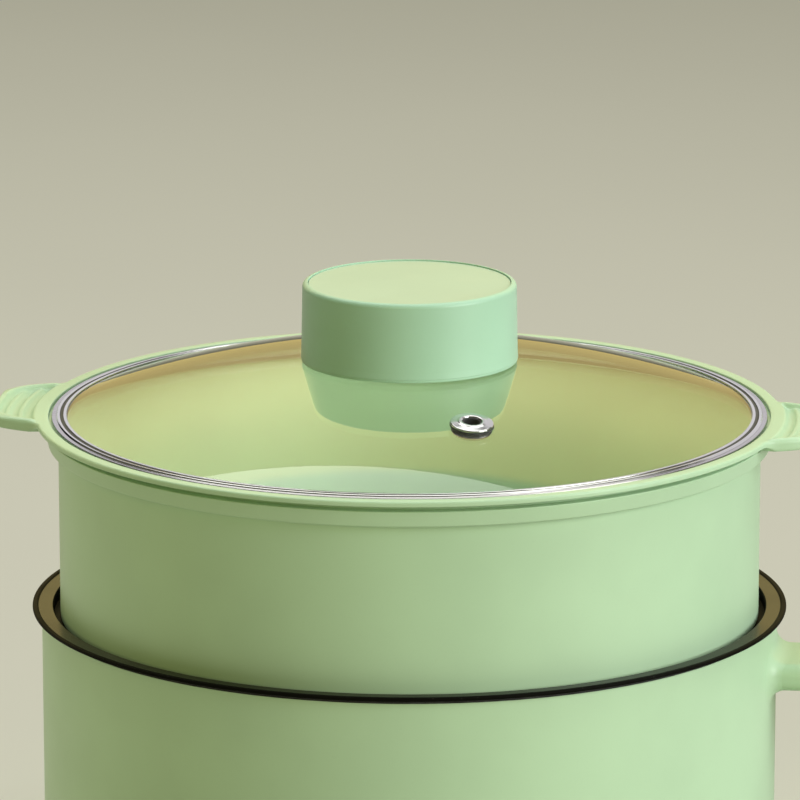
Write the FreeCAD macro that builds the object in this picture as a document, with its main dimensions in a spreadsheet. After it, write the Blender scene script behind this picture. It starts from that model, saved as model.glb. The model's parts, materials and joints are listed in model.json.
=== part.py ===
"""Electric hot pot: a one-handled base, a stacking steamer basket and a clear domed lid.

The pot's axis is Z, the table is z = 0, and the handle points along +X. Lengths are in mm.
"""
import FreeCAD
import Part
import Sketcher
import math
import os
import re

# Every driving size, by the name of its cell in the sheet.
SIZES = {
    # inner pot
    "rim_height": 128.0,        # top of the rolled rim above the table
    "rim_radius": 137.8,        # outside of the rolled rim
    "bead": 2.2,                # width of the roll
    "flare_drop": 0.8,          # flat of the rim below the top of the roll
    "rim_flat": 8.5,            # from the roll's outside in to the step
    "ledge_drop": 2.3,          # ledge that carries the steamer, below the roll
    "ledge_width": 5.8,
    "pot_sheet": 1.6,           # thickness of the pot
    "pot_floor": 38.0,          # inside floor above the table
    "pot_corner": 20.0,         # inside radius between wall and floor
    # housing and base
    "rim_overhang": 3.4,        # rim of the pot past the housing
    "housing_draft": 0.6,       # how much narrower it is at the bottom
    "housing_wall": 2.6,
    "housing_corner": 14.0,     # outside radius at the bottom edge
    "seal_thickness": 0.6,      # ring between housing and pot rim
    "foot_lift": 4.0,           # underside above the table
    "cover_inset": 26.4,        # edge of the bottom cover inside the housing
    "cover_plate": 2.2,
    "cover_rib": 6.0,           # locating rib inside the opening
    "flange_width": 8.0,        # housing flange that the cover seats on
    "cover_screw_inset": 4.0,   # screw circle inside the cover's edge
    "boss_radius": 4.0,
    "boss_height": 11.0,
    "vent_inset": 32.0,         # middle of the slots inside the circle of the feet
    "vent_length": 18.0,
    "vent_width": 3.0,
    "vent_count": 16,
    "foot_inset": 24.0,         # circle of the feet inside the cover's edge
    "foot_radius": 9.0,
    "foot_recess": 1.0,
    "corner_count": 4,          # feet, and screws beside them
    "screw_radius": 1.4,
    "screw_head": 3.2,
    "screw_head_height": 1.3,
    "fit_gap": 0.3,             # clearance between separate pieces
    # heating parts
    "plate_margin": 41.5,       # edge of the heating plate inside the pot's wall
    "plate_thickness": 6.0,
    "element_inset": 20.0,      # middle of the element inside the plate's edge
    "element_radius": 3.3,
    "element_gap": 40.0,        # degrees of the ring left open
    "lead_radius": 2.4,
    "lead_length": 5.0,
    "tab_length": 7.0,
    "tab_width": 4.0,
    "tab_thickness": 0.8,
    "stat_radius": 9.5,
    "stat_neck": 7.0,
    "stat_height": 9.0,
    "clamp_reach": 24.0,        # bracket screws from the pot's axis
    "clamp_width": 9.0,
    "clamp_sheet": 0.8,
    "fuse_radius": 2.4,
    "fuse_length": 16.0,
    "shield_inset": 11.0,       # edge of the heat shield inside the cover's edge
    "shield_sheet": 0.8,
    "shield_gap": 15.0,         # heat shield below the heating plate
    "shield_lip": 4.0,
    "stud_inset": 8.0,          # studs inside the plate's edge
    "stud_radius": 3.0,
    "stud_thread": 2.0,
    "stud_count": 3,
    "nut_height": 2.4,
    # power inlet
    "inlet_height": 21.0,       # centre above the table
    "inlet_stand": 3.6,         # face of its boss outside the housing
    "inlet_width": 28.0,
    "inlet_tall": 20.0,
    "inlet_depth": 20.0,
    "inlet_flange": 1.6,
    "inlet_border": 4.0,
    "socket_wall": 2.2,
    "socket_depth": 17.6,
    "pin_spacing": 7.0,
    "pin_offset": 4.0,
    "pin_width": 4.0,
    "pin_thickness": 2.0,
    "pin_length": 13.0,
    "pin_tail": 6.0,
    # handle, outward from the housing
    "handle_drop": 16.0,        # its top below the pot's rim
    "root_length": 15.6,        # root moulded on the housing
    "root_width": 38.0,
    "root_depth": 10.0,
    "root_fillet": 6.0,
    "handle_edge": 4.2,
    "handle_wall": 2.3,
    "seam_drop": 7.0,           # seam between the shells, below the top
    "neck_length": 6.0,         # slim neck past the root
    "belly_rise": 18.0,         # from the neck to the full belly
    "belly_depth": 22.0,
    "belly_round": 30.0,
    "belly_lead": 14.0,         # from the full belly to the dial
    "dial_width": 44.0,
    "dial_to_waist": 34.0,
    "waist_width": 34.0,
    "dial_to_tip": 94.0,
    "tip_width": 29.0,
    "tip_depth": 15.0,
    "tip_round": 12.0,          # corners of the tip, seen from above
    "front_inset": 7.0,         # front screw past the neck
    "rear_inset": 24.0,         # rear screw before the tip
    "handle_boss": 4.4,
    "screw_sink": 3.6,          # head seats of the handle's screws, above its underside
    "bracket_width": 14.0,
    "bracket_sheet": 1.5,
    "bracket_drop": 18.0,
    "bracket_end": 5.0,         # strip past the front screw
    # switch, dial and lamp
    "switch_side": 24.0,
    "switch_height": 11.0,
    "bushing_radius": 4.4,
    "bushing_rise": 3.5,
    "shaft_radius": 3.0,
    "shaft_play": 0.05,
    "bezel_border": 4.2,        # ring outside the dial
    "bezel_sheet": 1.2,
    "dial_radius": 16.2,
    "dial_draft": 0.8,
    "dial_height": 13.0,
    "dial_shell": 3.4,
    "dial_dish": 1.0,
    "flute_count": 24,
    "flute_radius": 1.1,
    "dial_to_lens": 25.0,
    "lens_radius": 2.6,
    "lens_rise": 0.7,
    "lamp_length": 8.0,
    "wire_radius": 1.1,
    # steamer basket
    "steamer_rise": 70.5,       # its rim above the pot's rim
    "steamer_play": 1.8,        # its wall inside the step of the pot's rim
    "steamer_draft": 0.3,
    "steamer_wall": 2.4,
    "shoulder_round": 2.4,
    "shoulder_lift": 0.4,       # shoulder above the ledge of the pot
    "insert_depth": 14.0,       # part that hangs in the pot
    "insert_gap": 0.7,
    "insert_round": 5.0,
    "lip_overhang": 8.5,        # rolled lip past the wall
    "lip_height": 1.8,
    "lip_width": 4.6,           # lip from its outside to the lid's seat
    "flare_inset": 4.2,         # top of the flared band inside the lip
    "flare_step": 0.8,          # foot of the flared band outside the wall
    "flare_top_drop": 3.6,
    "flare_foot_drop": 9.7,
    "seat_depth": 1.9,
    "seat_ledge": 2.4,
    "hole_radius": 4.0,
    "hole_pitch": 22.0,         # distance between the rings of holes
    "ear_length": 16.5,         # ears past the lip
    "ear_width": 62.0,
    "ear_tip_width": 48.0,
    "ear_thickness": 4.0,
    "ear_round": 8.0,
    "ear_cove": 6.0,
    "ear_border": 2.6,
    "ear_dish": 0.5,
    "rib_width": 1.8,
    "rib_pitch": 4.2,
    # lid
    "glass_rise": 21.5,         # crown above the steamer's rim
    "glass_drop": 0.33,         # edge of the glass below the steamer's rim
    "glass_inset": 5.5,         # edge of the glass inside the lid's seat
    "glass_thickness": 3.8,
    "lid_play": 0.4,            # band inside the lid's seat
    "band_sheet": 0.7,
    "band_groove": 1.5,         # groove around the glass
    "band_lap": 1.0,            # lip of the band over the glass
    "vent_reach": 78.5,         # steam vent from the lid's axis
    "vent_angle": -67.3,
    "vent_sleeve": 4.6,
    "vent_metal": 1.1,
    "vent_brim": 3.15,          # flange past the sleeve
    "vent_rise": 2.6,
    "vent_washer": 0.6,
    # lid knob
    "knob_lap": 0.4,            # lower edge of the knob below the crown of the glass
    "knob_height": 27.7,
    "knob_top_radius": 38.4,
    "knob_draft": 0.8,
    "knob_lip": 0.4,
    "knob_wall": 2.4,
    "knob_rim": 1.5,
    "knob_dish": 1.2,
    "close_gap": 0.05,          # between pieces that locate each other
    "cap_thickness": 2.2,
    "cap_skirt": 4.0,
    "washer_radius": 12.0,
    "washer_thickness": 1.2,
    "insert_radius": 3.6,
    "insert_length": 10.0,
    "knob_bolt": 2.0,
    "glass_hole": 3.4,
    "cup_washer": 9.0,
    "bolt_head": 4.4,
    "bolt_head_height": 2.6,
}

# Radii and reaches that follow from the driving sizes, each a formula in the same sheet.
FOLLOWING = {
    "step_radius": "rim_radius - rim_flat",
    "pot_bore": "step_radius - ledge_width",
    "housing_radius": "rim_radius - rim_overhang",
    "cover_radius": "housing_radius - cover_inset",
    "foot_circle": "cover_radius - foot_inset",
    "vent_circle": "foot_circle - vent_inset",
    "plate_radius": "pot_bore - plate_margin",
    "element_circle": "plate_radius - element_inset",
    "stud_circle": "plate_radius - stud_inset",
    "shield_radius": "cover_radius - shield_inset",
    "inlet_face": "housing_radius + inlet_stand",
    "root_reach": "housing_radius + root_length",
    "neck_reach": "root_reach + neck_length",
    "belly_reach": "neck_reach + belly_rise",
    "dial_reach": "belly_reach + belly_lead",
    "lens_reach": "dial_reach + dial_to_lens",
    "waist_reach": "dial_reach + dial_to_waist",
    "tip_reach": "dial_reach + dial_to_tip",
    "front_screw": "neck_reach + front_inset",
    "rear_screw": "tip_reach - rear_inset",
    "bracket_reach": "front_screw + bracket_end",
    "bezel_radius": "dial_radius + bezel_border",
    "steamer_radius": "step_radius - steamer_play",
    "lip_radius": "steamer_radius + lip_overhang",
    "flare_radius": "lip_radius - flare_inset",
    "flare_foot": "steamer_radius + flare_step",
    "seat_radius": "lip_radius - lip_width",
    "ear_reach": "lip_radius + ear_length",
    "band_radius": "seat_radius - lid_play",
    "glass_radius": "seat_radius - glass_inset",
    "glass_sag": "glass_rise + glass_drop",
    "dome_radius": "(glass_radius ^ 2 + glass_sag ^ 2) / (2 * glass_sag)",
    "band_hollow": "glass_radius + band_groove",
    "band_lip": "glass_radius - band_lap",
    "vent_bore": "vent_sleeve - vent_metal",
    "vent_flange": "vent_sleeve + vent_brim",
    "knob_foot_radius": "knob_top_radius + knob_draft",
}

# Levels and radii that follow from the sizes, as expressions over the sheet.
FLARE = "(rim_height - flare_drop)"
LEDGE = "(rim_height - ledge_drop)"
FLARE_UNDER = "(rim_height - flare_drop - pot_sheet)"
POT_UNDER = "(pot_floor - pot_sheet)"
POT_OUTER = "(pot_bore + pot_sheet)"
HOUSING_TOP = "(rim_height - flare_drop - pot_sheet - seal_thickness)"
HOUSING_FOOT = "(housing_radius - housing_draft)"
HOUSING_BORE = "(housing_radius - housing_wall)"
COVER_TOP = "(foot_lift + cover_plate)"
COVER_SEAT = "(cover_radius + fit_gap)"
FLANGE_BORE = "(cover_radius - flange_width)"
FLANGE_TOP = "(foot_lift + cover_plate + housing_wall)"
SCREW_CIRCLE = "(cover_radius - cover_screw_inset)"
PLATE_UNDER = "(pot_floor - pot_sheet - plate_thickness)"
FUSE_REACH = "(element_circle / 2)"
TAB_MIDDLE = "(pot_floor - pot_sheet - plate_thickness - fit_gap - tab_width / 2)"
SHIELD_TOP = "(pot_floor - pot_sheet - plate_thickness - shield_gap)"
HANDLE_TOP = "(rim_height - handle_drop)"
HANDLE_CEILING = "(rim_height - handle_drop - handle_wall)"
SEAM = "(rim_height - handle_drop - seam_drop)"
ROOT_FLOOR = "(rim_height - handle_drop - root_depth + handle_wall)"
FRONT_LOW = ("(rim_height - handle_drop - root_depth - (belly_depth - root_depth)"
             " * (front_screw - neck_reach) / (belly_reach - neck_reach))")
REAR_LOW = ("(rim_height - handle_drop - belly_depth + (belly_depth - tip_depth)"
            " * (rear_screw - waist_reach) / (tip_reach - waist_reach))")
STRIP_TOP = "(rim_height - handle_drop - root_depth + handle_wall + bracket_sheet)"
BRACKET_BACK = "(sqrt((housing_radius - housing_wall)^2 - bracket_width^2 / 4) - 0.5 * fit_gap)"
LEAD_SIDE = "(bracket_width / 2 + 2 * wire_radius)"
SWITCH_TOP = "(rim_height - handle_drop - handle_wall - 0.1)"
BEZEL_TOP = "(rim_height - handle_drop + bezel_sheet)"
BUSHING_TOP = "(rim_height - handle_drop + bushing_rise)"
DIAL_FOOT = "(rim_height - handle_drop + bezel_sheet + fit_gap)"
DIAL_TOP = "(rim_height - handle_drop + bezel_sheet + fit_gap + dial_height)"
DIAL_ROOF = "(rim_height - handle_drop + bushing_rise + 2 * fit_gap)"
MOUTH = "(rim_height + steamer_rise)"
SHOULDER = "(rim_height - ledge_drop + shoulder_lift)"
INSERT_RADIUS = "(pot_bore - insert_gap)"
BASKET_UNDER = "(rim_height - ledge_drop + shoulder_lift - insert_depth)"
BASKET_FLOOR = "(rim_height - ledge_drop + shoulder_lift - insert_depth + steamer_wall)"
BASKET_BORE = "(steamer_radius - steamer_wall)"
CROWN = "(rim_height + steamer_rise + glass_rise)"
DOME_CENTRE = "(rim_height + steamer_rise + glass_rise - dome_radius)"
GLASS_UNDER = "(rim_height + steamer_rise + glass_rise - glass_thickness)"
DOME_INNER = "(dome_radius - glass_thickness)"
KNOB_FOOT = "(rim_height + steamer_rise + glass_rise - knob_lap)"
KNOB_TOP = "(rim_height + steamer_rise + glass_rise - knob_lap + knob_height)"
KNOB_FLOOR = "(rim_height + steamer_rise + glass_rise + washer_thickness)"
CAP_TOP = "(rim_height + steamer_rise + glass_rise - knob_lap + knob_height - knob_dish)"
CAP_RADIUS = "(knob_top_radius - knob_rim - close_gap)"

doc = FreeCAD.newDocument("HotPot")
sheet = doc.addObject("Spreadsheet::Sheet", "Sizes")
CELLS = {**SIZES, **{alias: f"={formula}" for alias, formula in FOLLOWING.items()}}
for row, (alias, content) in enumerate(CELLS.items(), 1):
    sheet.set(f"A{row}", alias)
    sheet.set(f"B{row}", str(content))
    sheet.setAlias(f"B{row}", alias)
doc.recompute()

pieces = []


# ---------------------------------------------------------------- expressions

def bound(text):
    """An expression that reads its named cells from the sheet."""
    return re.sub(r"[a-z_]+", lambda word: f"Sizes.{word[0]}" if word[0] in CELLS else word[0], str(text))


def value(text):
    """The number that an expression gives now."""
    return float(sheet.evalExpression(bound(text)))


def point(x, y, z):
    """A vector whose three places are expressions."""
    return FreeCAD.Vector(value(x), value(y), value(z))


def bind(thing, **properties):
    """Bind properties of an object to expressions; double underscores stand for dots."""
    for name, text in properties.items():
        thing.setExpression(name.replace("__", "."), bound(text))
    return thing


def keep(thing, label):
    """Name a finished sub-part and list it for export."""
    thing.Label = label
    pieces.append(thing)
    return thing


# ---------------------------------------------------------------- sketches

def new_body(label):
    body = doc.addObject("PartDesign::Body", label)
    body.AllowCompound = True
    return keep(body, label)


def datum(body, role):
    """One of the body's own origin planes or axes."""
    return next(feature for feature in body.Origin.OriginFeatures if feature.Role == role)


def sketch_on(body, plane, offset="0"):
    """An empty sketch on one of the body's origin planes, moved along the plane's normal."""
    sketch = body.newObject("Sketcher::SketchObject", f"{body.Name}_sketch")
    sketch.AttachmentSupport = [(datum(body, plane), "")]
    sketch.MapMode = "FlatFace"
    return bind(sketch, AttachmentOffset__Base__z=offset)


def drive(sketch, kind, *where, text):
    """Add a dimension to a sketch and bind it to an expression."""
    index = sketch.addConstraint(Sketcher.Constraint(kind, *where, value(text)))
    name = f"size_{index}"
    sketch.renameConstraint(index, name)
    sketch.setExpression(f"Constraints.{name}", bound(text))


def place(sketch, element, end, across, up):
    """Fix a point of a sketch at two distances from the sketch's origin."""
    for kind, text, axis in (("DistanceX", across, -2), ("DistanceY", up, -1)):
        if text == "0":
            sketch.addConstraint(Sketcher.Constraint("PointOnObject", element, end, axis))
        else:
            drive(sketch, kind, -1, 1, element, end, text=text)


def rounding(before, corner, after, radius):
    """The two ends of a rounding at a corner and its arc, with the ends in the arc's own order."""
    inward = (before - corner).normalize()
    outward = (after - corner).normalize()
    half = inward.getAngle(outward) / 2
    first = corner + inward * (radius / math.tan(half))
    last = corner + outward * (radius / math.tan(half))
    centre = corner + (inward + outward).normalize() * (radius / math.sin(half))
    left = inward.cross(outward).z < 0
    start, end = (first, last) if left else (last, first)
    angles = [math.atan2(tip.y - centre.y, tip.x - centre.x) for tip in (start, end)]
    arc = Part.ArcOfCircle(Part.Circle(centre, FreeCAD.Vector(0, 0, 1), radius), *angles)
    return first, last, arc, left


def outline(sketch, *corners):
    """Draw a closed outline through corners (across, up) or (across, up, rounding)."""
    spots = [FreeCAD.Vector(value(corner[0]), value(corner[1]), 0) for corner in corners]
    count = len(corners)
    ends = []
    arcs = {}
    for index, corner in enumerate(corners):
        first = last = spots[index]
        if len(corner) == 3:
            after = spots[(index + 1) % count]
            first, last, arc, left = rounding(spots[index - 1], spots[index], after, value(corner[2]))
            arcs[index] = (sketch.addGeometry(arc), left)
        ends.append((first, last))
    sides = []
    for index in range(count):
        side = Part.LineSegment(ends[index][1], ends[(index + 1) % count][0])
        sides.append(sketch.addGeometry(side))
    for index, corner in enumerate(corners):
        before, after = sides[index - 1], sides[index]
        if index not in arcs:
            sketch.addConstraint(Sketcher.Constraint("Coincident", before, 2, after, 1))
            place(sketch, after, 1, corner[0], corner[1])
            continue
        arc, left = arcs[index]
        sketch.addConstraint(Sketcher.Constraint("Tangent", before, 2, arc, 1 if left else 2))
        sketch.addConstraint(Sketcher.Constraint("Tangent", arc, 2 if left else 1, after, 1))
        apex = sketch.addGeometry(Part.Point(spots[index]), True)
        sketch.addConstraint(Sketcher.Constraint("PointOnObject", apex, 1, before))
        sketch.addConstraint(Sketcher.Constraint("PointOnObject", apex, 1, after))
        place(sketch, apex, 1, corner[0], corner[1])
        drive(sketch, "Radius", arc, text=corner[2])
    return sketch


def block(sketch, left, right, low, high, *corner):
    """A rectangle between four expressions, with its corners rounded if a radius is given."""
    return outline(sketch, (left, low, *corner), (right, low, *corner),
                   (right, high, *corner), (left, high, *corner))


def circle(sketch, across, up, radius):
    """A circle at two distances from the sketch's origin."""
    centre = FreeCAD.Vector(value(across), value(up), 0)
    ring = Part.Circle(centre, FreeCAD.Vector(0, 0, 1), value(radius))
    index = sketch.addGeometry(ring)
    place(sketch, index, 3, across, up)
    drive(sketch, "Radius", index, text=radius)
    return sketch


# ---------------------------------------------------------------- features

def turn(body, *corners, cut=False, angle="360"):
    """Revolve a profile of (radius, height) corners about the pot's axis, or cut with it."""
    profile = outline(sketch_on(body, "XZ_Plane"), *corners)
    return turn_sketch(body, profile, cut, angle)


def turn_sketch(body, profile, cut=False, angle="360"):
    kind = "Groove" if cut else "Revolution"
    feature = body.newObject(f"PartDesign::{kind}", f"{body.Name}_{kind.lower()}")
    feature.Profile = (profile, [""])
    feature.ReferenceAxis = (profile, ["V_Axis"])
    return bind(feature, Angle=angle)


def extrude(body, profile, length, cut=False, flip=False, both=False):
    """Pad a sketch along its normal, or pocket against it; flip turns the direction round."""
    kind = "Pocket" if cut else "Pad"
    feature = body.newObject(f"PartDesign::{kind}", f"{body.Name}_{kind.lower()}")
    feature.Profile = (profile, [""])
    feature.Reversed = flip
    feature.SideType = "Symmetric" if both else "One side"
    return bind(feature, Length=length)


def repeat(body, features, count):
    """Repeat features evenly about the pot's axis."""
    pattern = body.newObject("PartDesign::PolarPattern", f"{body.Name}_pattern")
    pattern.Originals = features
    pattern.Axis = (datum(body, "Z_Axis"), [""])
    pattern.Angle = 360
    bind(pattern, Occurrences=count)
    body.Tip = pattern
    return pattern


def fillet_edges(body, wanted, radius):
    """Round the edges of the body's last feature that a test picks out."""
    doc.recompute()
    base = body.Tip
    names = [f"Edge{number}" for number, edge in enumerate(base.Shape.Edges, 1) if wanted(edge)]
    feature = body.newObject("PartDesign::Fillet", f"{body.Name}_fillet")
    feature.Base = (base, names)
    return bind(feature, Radius=radius)


def cylinder(name, radius, height, x="0", y="0", z="0"):
    """An upright cylinder standing on a point."""
    drum = doc.addObject("Part::Cylinder", name)
    return bind(drum, Radius=radius, Height=height,
                Placement__Base__x=x, Placement__Base__y=y, Placement__Base__z=z)


def box(name, length, width, height, x, y, z):
    """A box from its lowest corner."""
    brick = doc.addObject("Part::Box", name)
    return bind(brick, Length=length, Width=width, Height=height,
                Placement__Base__x=x, Placement__Base__y=y, Placement__Base__z=z)


def joined(name, *parts):
    fused = doc.addObject("Part::MultiFuse", name)
    fused.Shapes = list(parts)
    return fused


def less(name, base, tool):
    difference = doc.addObject("Part::Cut", name)
    difference.Base = base
    difference.Tool = tool
    return difference


def group(label, parts):
    """Several separate solids of one kind, kept as one sub-part."""
    several = doc.addObject("Part::Compound", label)
    several.Links = list(parts)
    return keep(several, label)


def corners_of_base(circle_radius):
    """The places of the feet and of the screws, at 45 degrees to the handle."""
    for index in range(int(value("corner_count"))):
        angle = f"(45 + 360 / corner_count * {index})"
        yield f"{circle_radius} * cos{angle}", f"{circle_radius} * sin{angle}"


# ---------------------------------------------------------------- pot and housing

def inner_pot():
    """Pressed pot with a rolled, stepped rim."""
    body = new_body("inner_pot")
    turn(body,
         ("0", POT_UNDER),
         (POT_OUTER, POT_UNDER, "pot_corner + pot_sheet"),
         (POT_OUTER, f"{LEDGE} - pot_sheet"),
         ("step_radius + pot_sheet", f"{LEDGE} - pot_sheet"),
         ("step_radius + pot_sheet", FLARE_UNDER),
         ("rim_radius", FLARE_UNDER, "pot_sheet / 2"),
         ("rim_radius", "rim_height", "bead / 2.2"),
         ("rim_radius - bead", "rim_height", "flare_drop / 1.2"),
         ("rim_radius - bead - flare_drop", FLARE),
         ("step_radius", FLARE),
         ("step_radius", LEDGE),
         ("pot_bore", LEDGE),
         ("pot_bore", "pot_floor", "pot_corner"),
         ("0", "pot_floor"))


def rim_seal():
    """Flat ring between the housing's edge and the pot's rim."""
    body = new_body("rim_seal")
    block_profile = block(sketch_on(body, "XZ_Plane"), HOUSING_BORE, "housing_radius - fit_gap",
                          HOUSING_TOP, f"{HOUSING_TOP} + seal_thickness")
    turn_sketch(body, block_profile)


def outer_housing():
    """Moulded tub with the handle's root, a boss for the inlet and screw bosses."""
    body = new_body("outer_housing")
    turn(body,
         ("0", "foot_lift"),
         (HOUSING_FOOT, "foot_lift", "housing_corner"),
         ("housing_radius", HOUSING_TOP),
         ("0", HOUSING_TOP))
    root = block(sketch_on(body, "YZ_Plane", "cover_radius"), "-root_width / 2", "root_width / 2",
                 f"{HANDLE_TOP} - root_depth", HANDLE_TOP, "handle_edge")
    extrude(body, root, "root_reach - cover_radius")
    fillet_edges(body, meets_the_wall, "root_fillet")
    boss = block(sketch_on(body, "YZ_Plane", "cover_radius"),
                 "-inlet_width / 2 - inlet_border", "inlet_width / 2 + inlet_border",
                 "inlet_height - inlet_tall / 2 - inlet_border / 2",
                 "inlet_height + inlet_tall / 2 + inlet_border / 2", "inlet_border")
    extrude(body, boss, "inlet_face - cover_radius")
    hollow_housing(body)
    passage = block(sketch_on(body, "YZ_Plane", "root_reach"),
                    "-root_width / 2 + handle_wall", "root_width / 2 - handle_wall",
                    ROOT_FLOOR, HANDLE_CEILING, "handle_edge - handle_wall")
    extrude(body, passage, "root_reach - pot_bore", cut=True)
    window = block(sketch_on(body, "YZ_Plane", "inlet_face"), "-inlet_width / 2", "inlet_width / 2",
                   "inlet_height - inlet_tall / 2", "inlet_height + inlet_tall / 2")
    extrude(body, window, "inlet_depth + fit_gap", cut=True)
    screw_bosses(body)


def meets_the_wall(edge):
    """True for the edges where the handle's root leaves the housing's wall."""
    reach = [math.hypot(vertex.X, vertex.Y) for vertex in edge.Vertexes]
    heights = [vertex.Z for vertex in edge.Vertexes]
    top = value(HANDLE_TOP)
    low = value(f"{HANDLE_TOP} - root_depth")
    wall = value("housing_radius")
    return (all(abs(radius - wall) < value("housing_draft") + 0.1 for radius in reach)
            and all(low - 0.1 < height < top + 0.1 for height in heights))


def hollow_housing(body):
    """Cut the inside, the cover's recess and the flange that the cover seats on."""
    turn(body,
         ("0", "foot_lift - 1"),
         (COVER_SEAT, "foot_lift - 1"),
         (COVER_SEAT, COVER_TOP),
         (FLANGE_BORE, COVER_TOP),
         (FLANGE_BORE, FLANGE_TOP),
         (f"{COVER_SEAT} + housing_wall", FLANGE_TOP),
         (f"{COVER_SEAT} + housing_wall", "foot_lift + housing_wall"),
         (f"{HOUSING_FOOT} - housing_wall", "foot_lift + housing_wall", "housing_corner - housing_wall"),
         (HOUSING_BORE, f"{HOUSING_TOP} + 1"),
         ("0", f"{HOUSING_TOP} + 1"),
         cut=True)


def screw_bosses(body):
    """Four bosses with blind holes on the flange."""
    x, y = next(corners_of_base(SCREW_CIRCLE))
    post = circle(sketch_on(body, "XY_Plane", COVER_TOP), x, y, "boss_radius")
    raised = extrude(body, post, "boss_height")
    hole = circle(sketch_on(body, "XY_Plane", COVER_TOP), x, y, "screw_radius")
    bored = extrude(body, hole, "boss_height - housing_wall", cut=True, flip=True)
    repeat(body, [raised, bored], "corner_count")


def base_cover():
    """Bottom plate with vents, a locating rib and places for feet and screws."""
    body = new_body("base_cover")
    rib = f"({FLANGE_BORE} - fit_gap)"
    turn(body,
         ("0", "foot_lift"),
         ("cover_radius", "foot_lift"),
         ("cover_radius", COVER_TOP),
         (rib, COVER_TOP),
         (rib, f"{COVER_TOP} + cover_rib"),
         (f"{rib} - cover_plate", f"{COVER_TOP} + cover_rib"),
         (f"{rib} - cover_plate", COVER_TOP),
         ("0", COVER_TOP))
    x, y = next(corners_of_base(SCREW_CIRCLE))
    through = circle(sketch_on(body, "XY_Plane", "foot_lift"), x, y, "screw_radius + fit_gap")
    sink = circle(sketch_on(body, "XY_Plane", "foot_lift"), x, y, "screw_head + fit_gap")
    x, y = next(corners_of_base("foot_circle"))
    pad_seat = circle(sketch_on(body, "XY_Plane", "foot_lift"), x, y, "foot_radius + fit_gap / 2")
    cuts = [extrude(body, through, "cover_plate", cut=True, flip=True),
            extrude(body, sink, "screw_head_height", cut=True, flip=True),
            extrude(body, pad_seat, "foot_recess", cut=True, flip=True)]
    repeat(body, cuts, "corner_count")
    slot = block(sketch_on(body, "XY_Plane", "foot_lift"),
                 "vent_circle - vent_length / 2", "vent_circle + vent_length / 2",
                 "-vent_width / 2", "vent_width / 2", "vent_width / 2.1")
    repeat(body, [extrude(body, slot, "cover_plate", cut=True, flip=True)], "vent_count")


def rubber_feet():
    feet = []
    for x, y in corners_of_base("foot_circle"):
        foot = doc.addObject("Part::Cone", "foot")
        bind(foot, Radius1="foot_radius - 1", Radius2="foot_radius", Height="foot_lift + foot_recess",
             Placement__Base__x=x, Placement__Base__y=y)
        feet.append(foot)
    group("rubber_feet", feet)


def base_screws():
    screws = []
    for x, y in corners_of_base(SCREW_CIRCLE):
        seat = "foot_lift + screw_head_height"
        head = cylinder("head", "screw_head", "screw_head_height", x, y, "foot_lift")
        shank = cylinder("shank", "screw_radius", "boss_height - housing_wall", x, y, seat)
        screws.append(joined("screw", head, shank))
    group("base_screws", screws)


# ---------------------------------------------------------------- heating parts

def heating_plate():
    """Cast plate under the pot with a round groove for the element."""
    body = new_body("heating_plate")
    turn(body,
         ("0", PLATE_UNDER),
         ("plate_radius", PLATE_UNDER, "plate_thickness / 3"),
         ("plate_radius", POT_UNDER),
         ("0", POT_UNDER))
    channel = circle(sketch_on(body, "XZ_Plane"), "element_circle", PLATE_UNDER,
                     "element_radius + fit_gap / 3")
    turn_sketch(body, channel, cut=True)


def heating_element():
    """Tubular ring, open towards the handle."""
    body = new_body("heating_element")
    tube = circle(sketch_on(body, "XZ_Plane"), "element_circle", PLATE_UNDER, "element_radius")
    turn_sketch(body, tube, angle="360 - element_gap")
    body.Placement.Rotation.Axis = FreeCAD.Vector(0, 0, 1)
    bind(body, Placement__Rotation__Angle="element_gap / 2")


def lead_point(side, along, aside="0"):
    """A point on the line that leaves an end of the element along its tangent, or beside it."""
    half = "(element_gap / 2)"
    x = f"(element_circle * cos{half} + {along} * sin{half} - {side} * {aside} * cos{half})"
    y = f"({side} * (element_circle * sin{half} - {along} * cos{half}) - {aside} * sin{half})"
    return x, y


def element_terminals():
    """An insulated lead and an upright tab at each end of the element."""
    parts = []
    for side in (1, -1):
        x, y = lead_point(side, "fit_gap")
        lead = cylinder("lead", "lead_radius", "lead_length", x, y, PLATE_UNDER)
        along = point(*lead_point(side, "1"), "0") - point(*lead_point(side, "0"), "0")
        lead.Placement.Rotation = FreeCAD.Rotation(FreeCAD.Vector(0, 0, 1), along)
        x, y = lead_point(side, "(fit_gap + lead_length)", "tab_thickness / 2")
        tab = box("tab", "tab_length", "tab_thickness", "tab_width", x, y, f"{TAB_MIDDLE} - tab_width / 2")
        tab.Placement.Rotation.Axis = FreeCAD.Vector(0, 0, 1)
        bind(tab, Placement__Rotation__Angle=f"{-side} * (90 - element_gap / 2)")
        parts += [lead, tab]
    group("element_terminals", parts)


def thermostat():
    """Disc thermostat on the axis with two tabs."""
    body = new_body("thermostat")
    low = f"({PLATE_UNDER} - stat_height)"
    turn(body,
         ("0", low),
         ("stat_neck", low),
         ("stat_neck", f"{PLATE_UNDER} - stat_height / 3"),
         ("stat_radius", f"{PLATE_UNDER} - stat_height / 3"),
         ("stat_radius", PLATE_UNDER),
         ("0", PLATE_UNDER))
    tabs = block(sketch_on(body, "XY_Plane", f"{low} + 1"), "0", "stat_neck + tab_length",
                 "-tab_width", "tab_width")
    extrude(body, tabs, "tab_thickness")
    notch = block(sketch_on(body, "XY_Plane", f"{low} + 1"), "stat_neck + 1", "stat_neck + tab_length + 1",
                  "-tab_width / 3", "tab_width / 3")
    extrude(body, notch, "tab_thickness", cut=True, flip=True)


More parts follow.
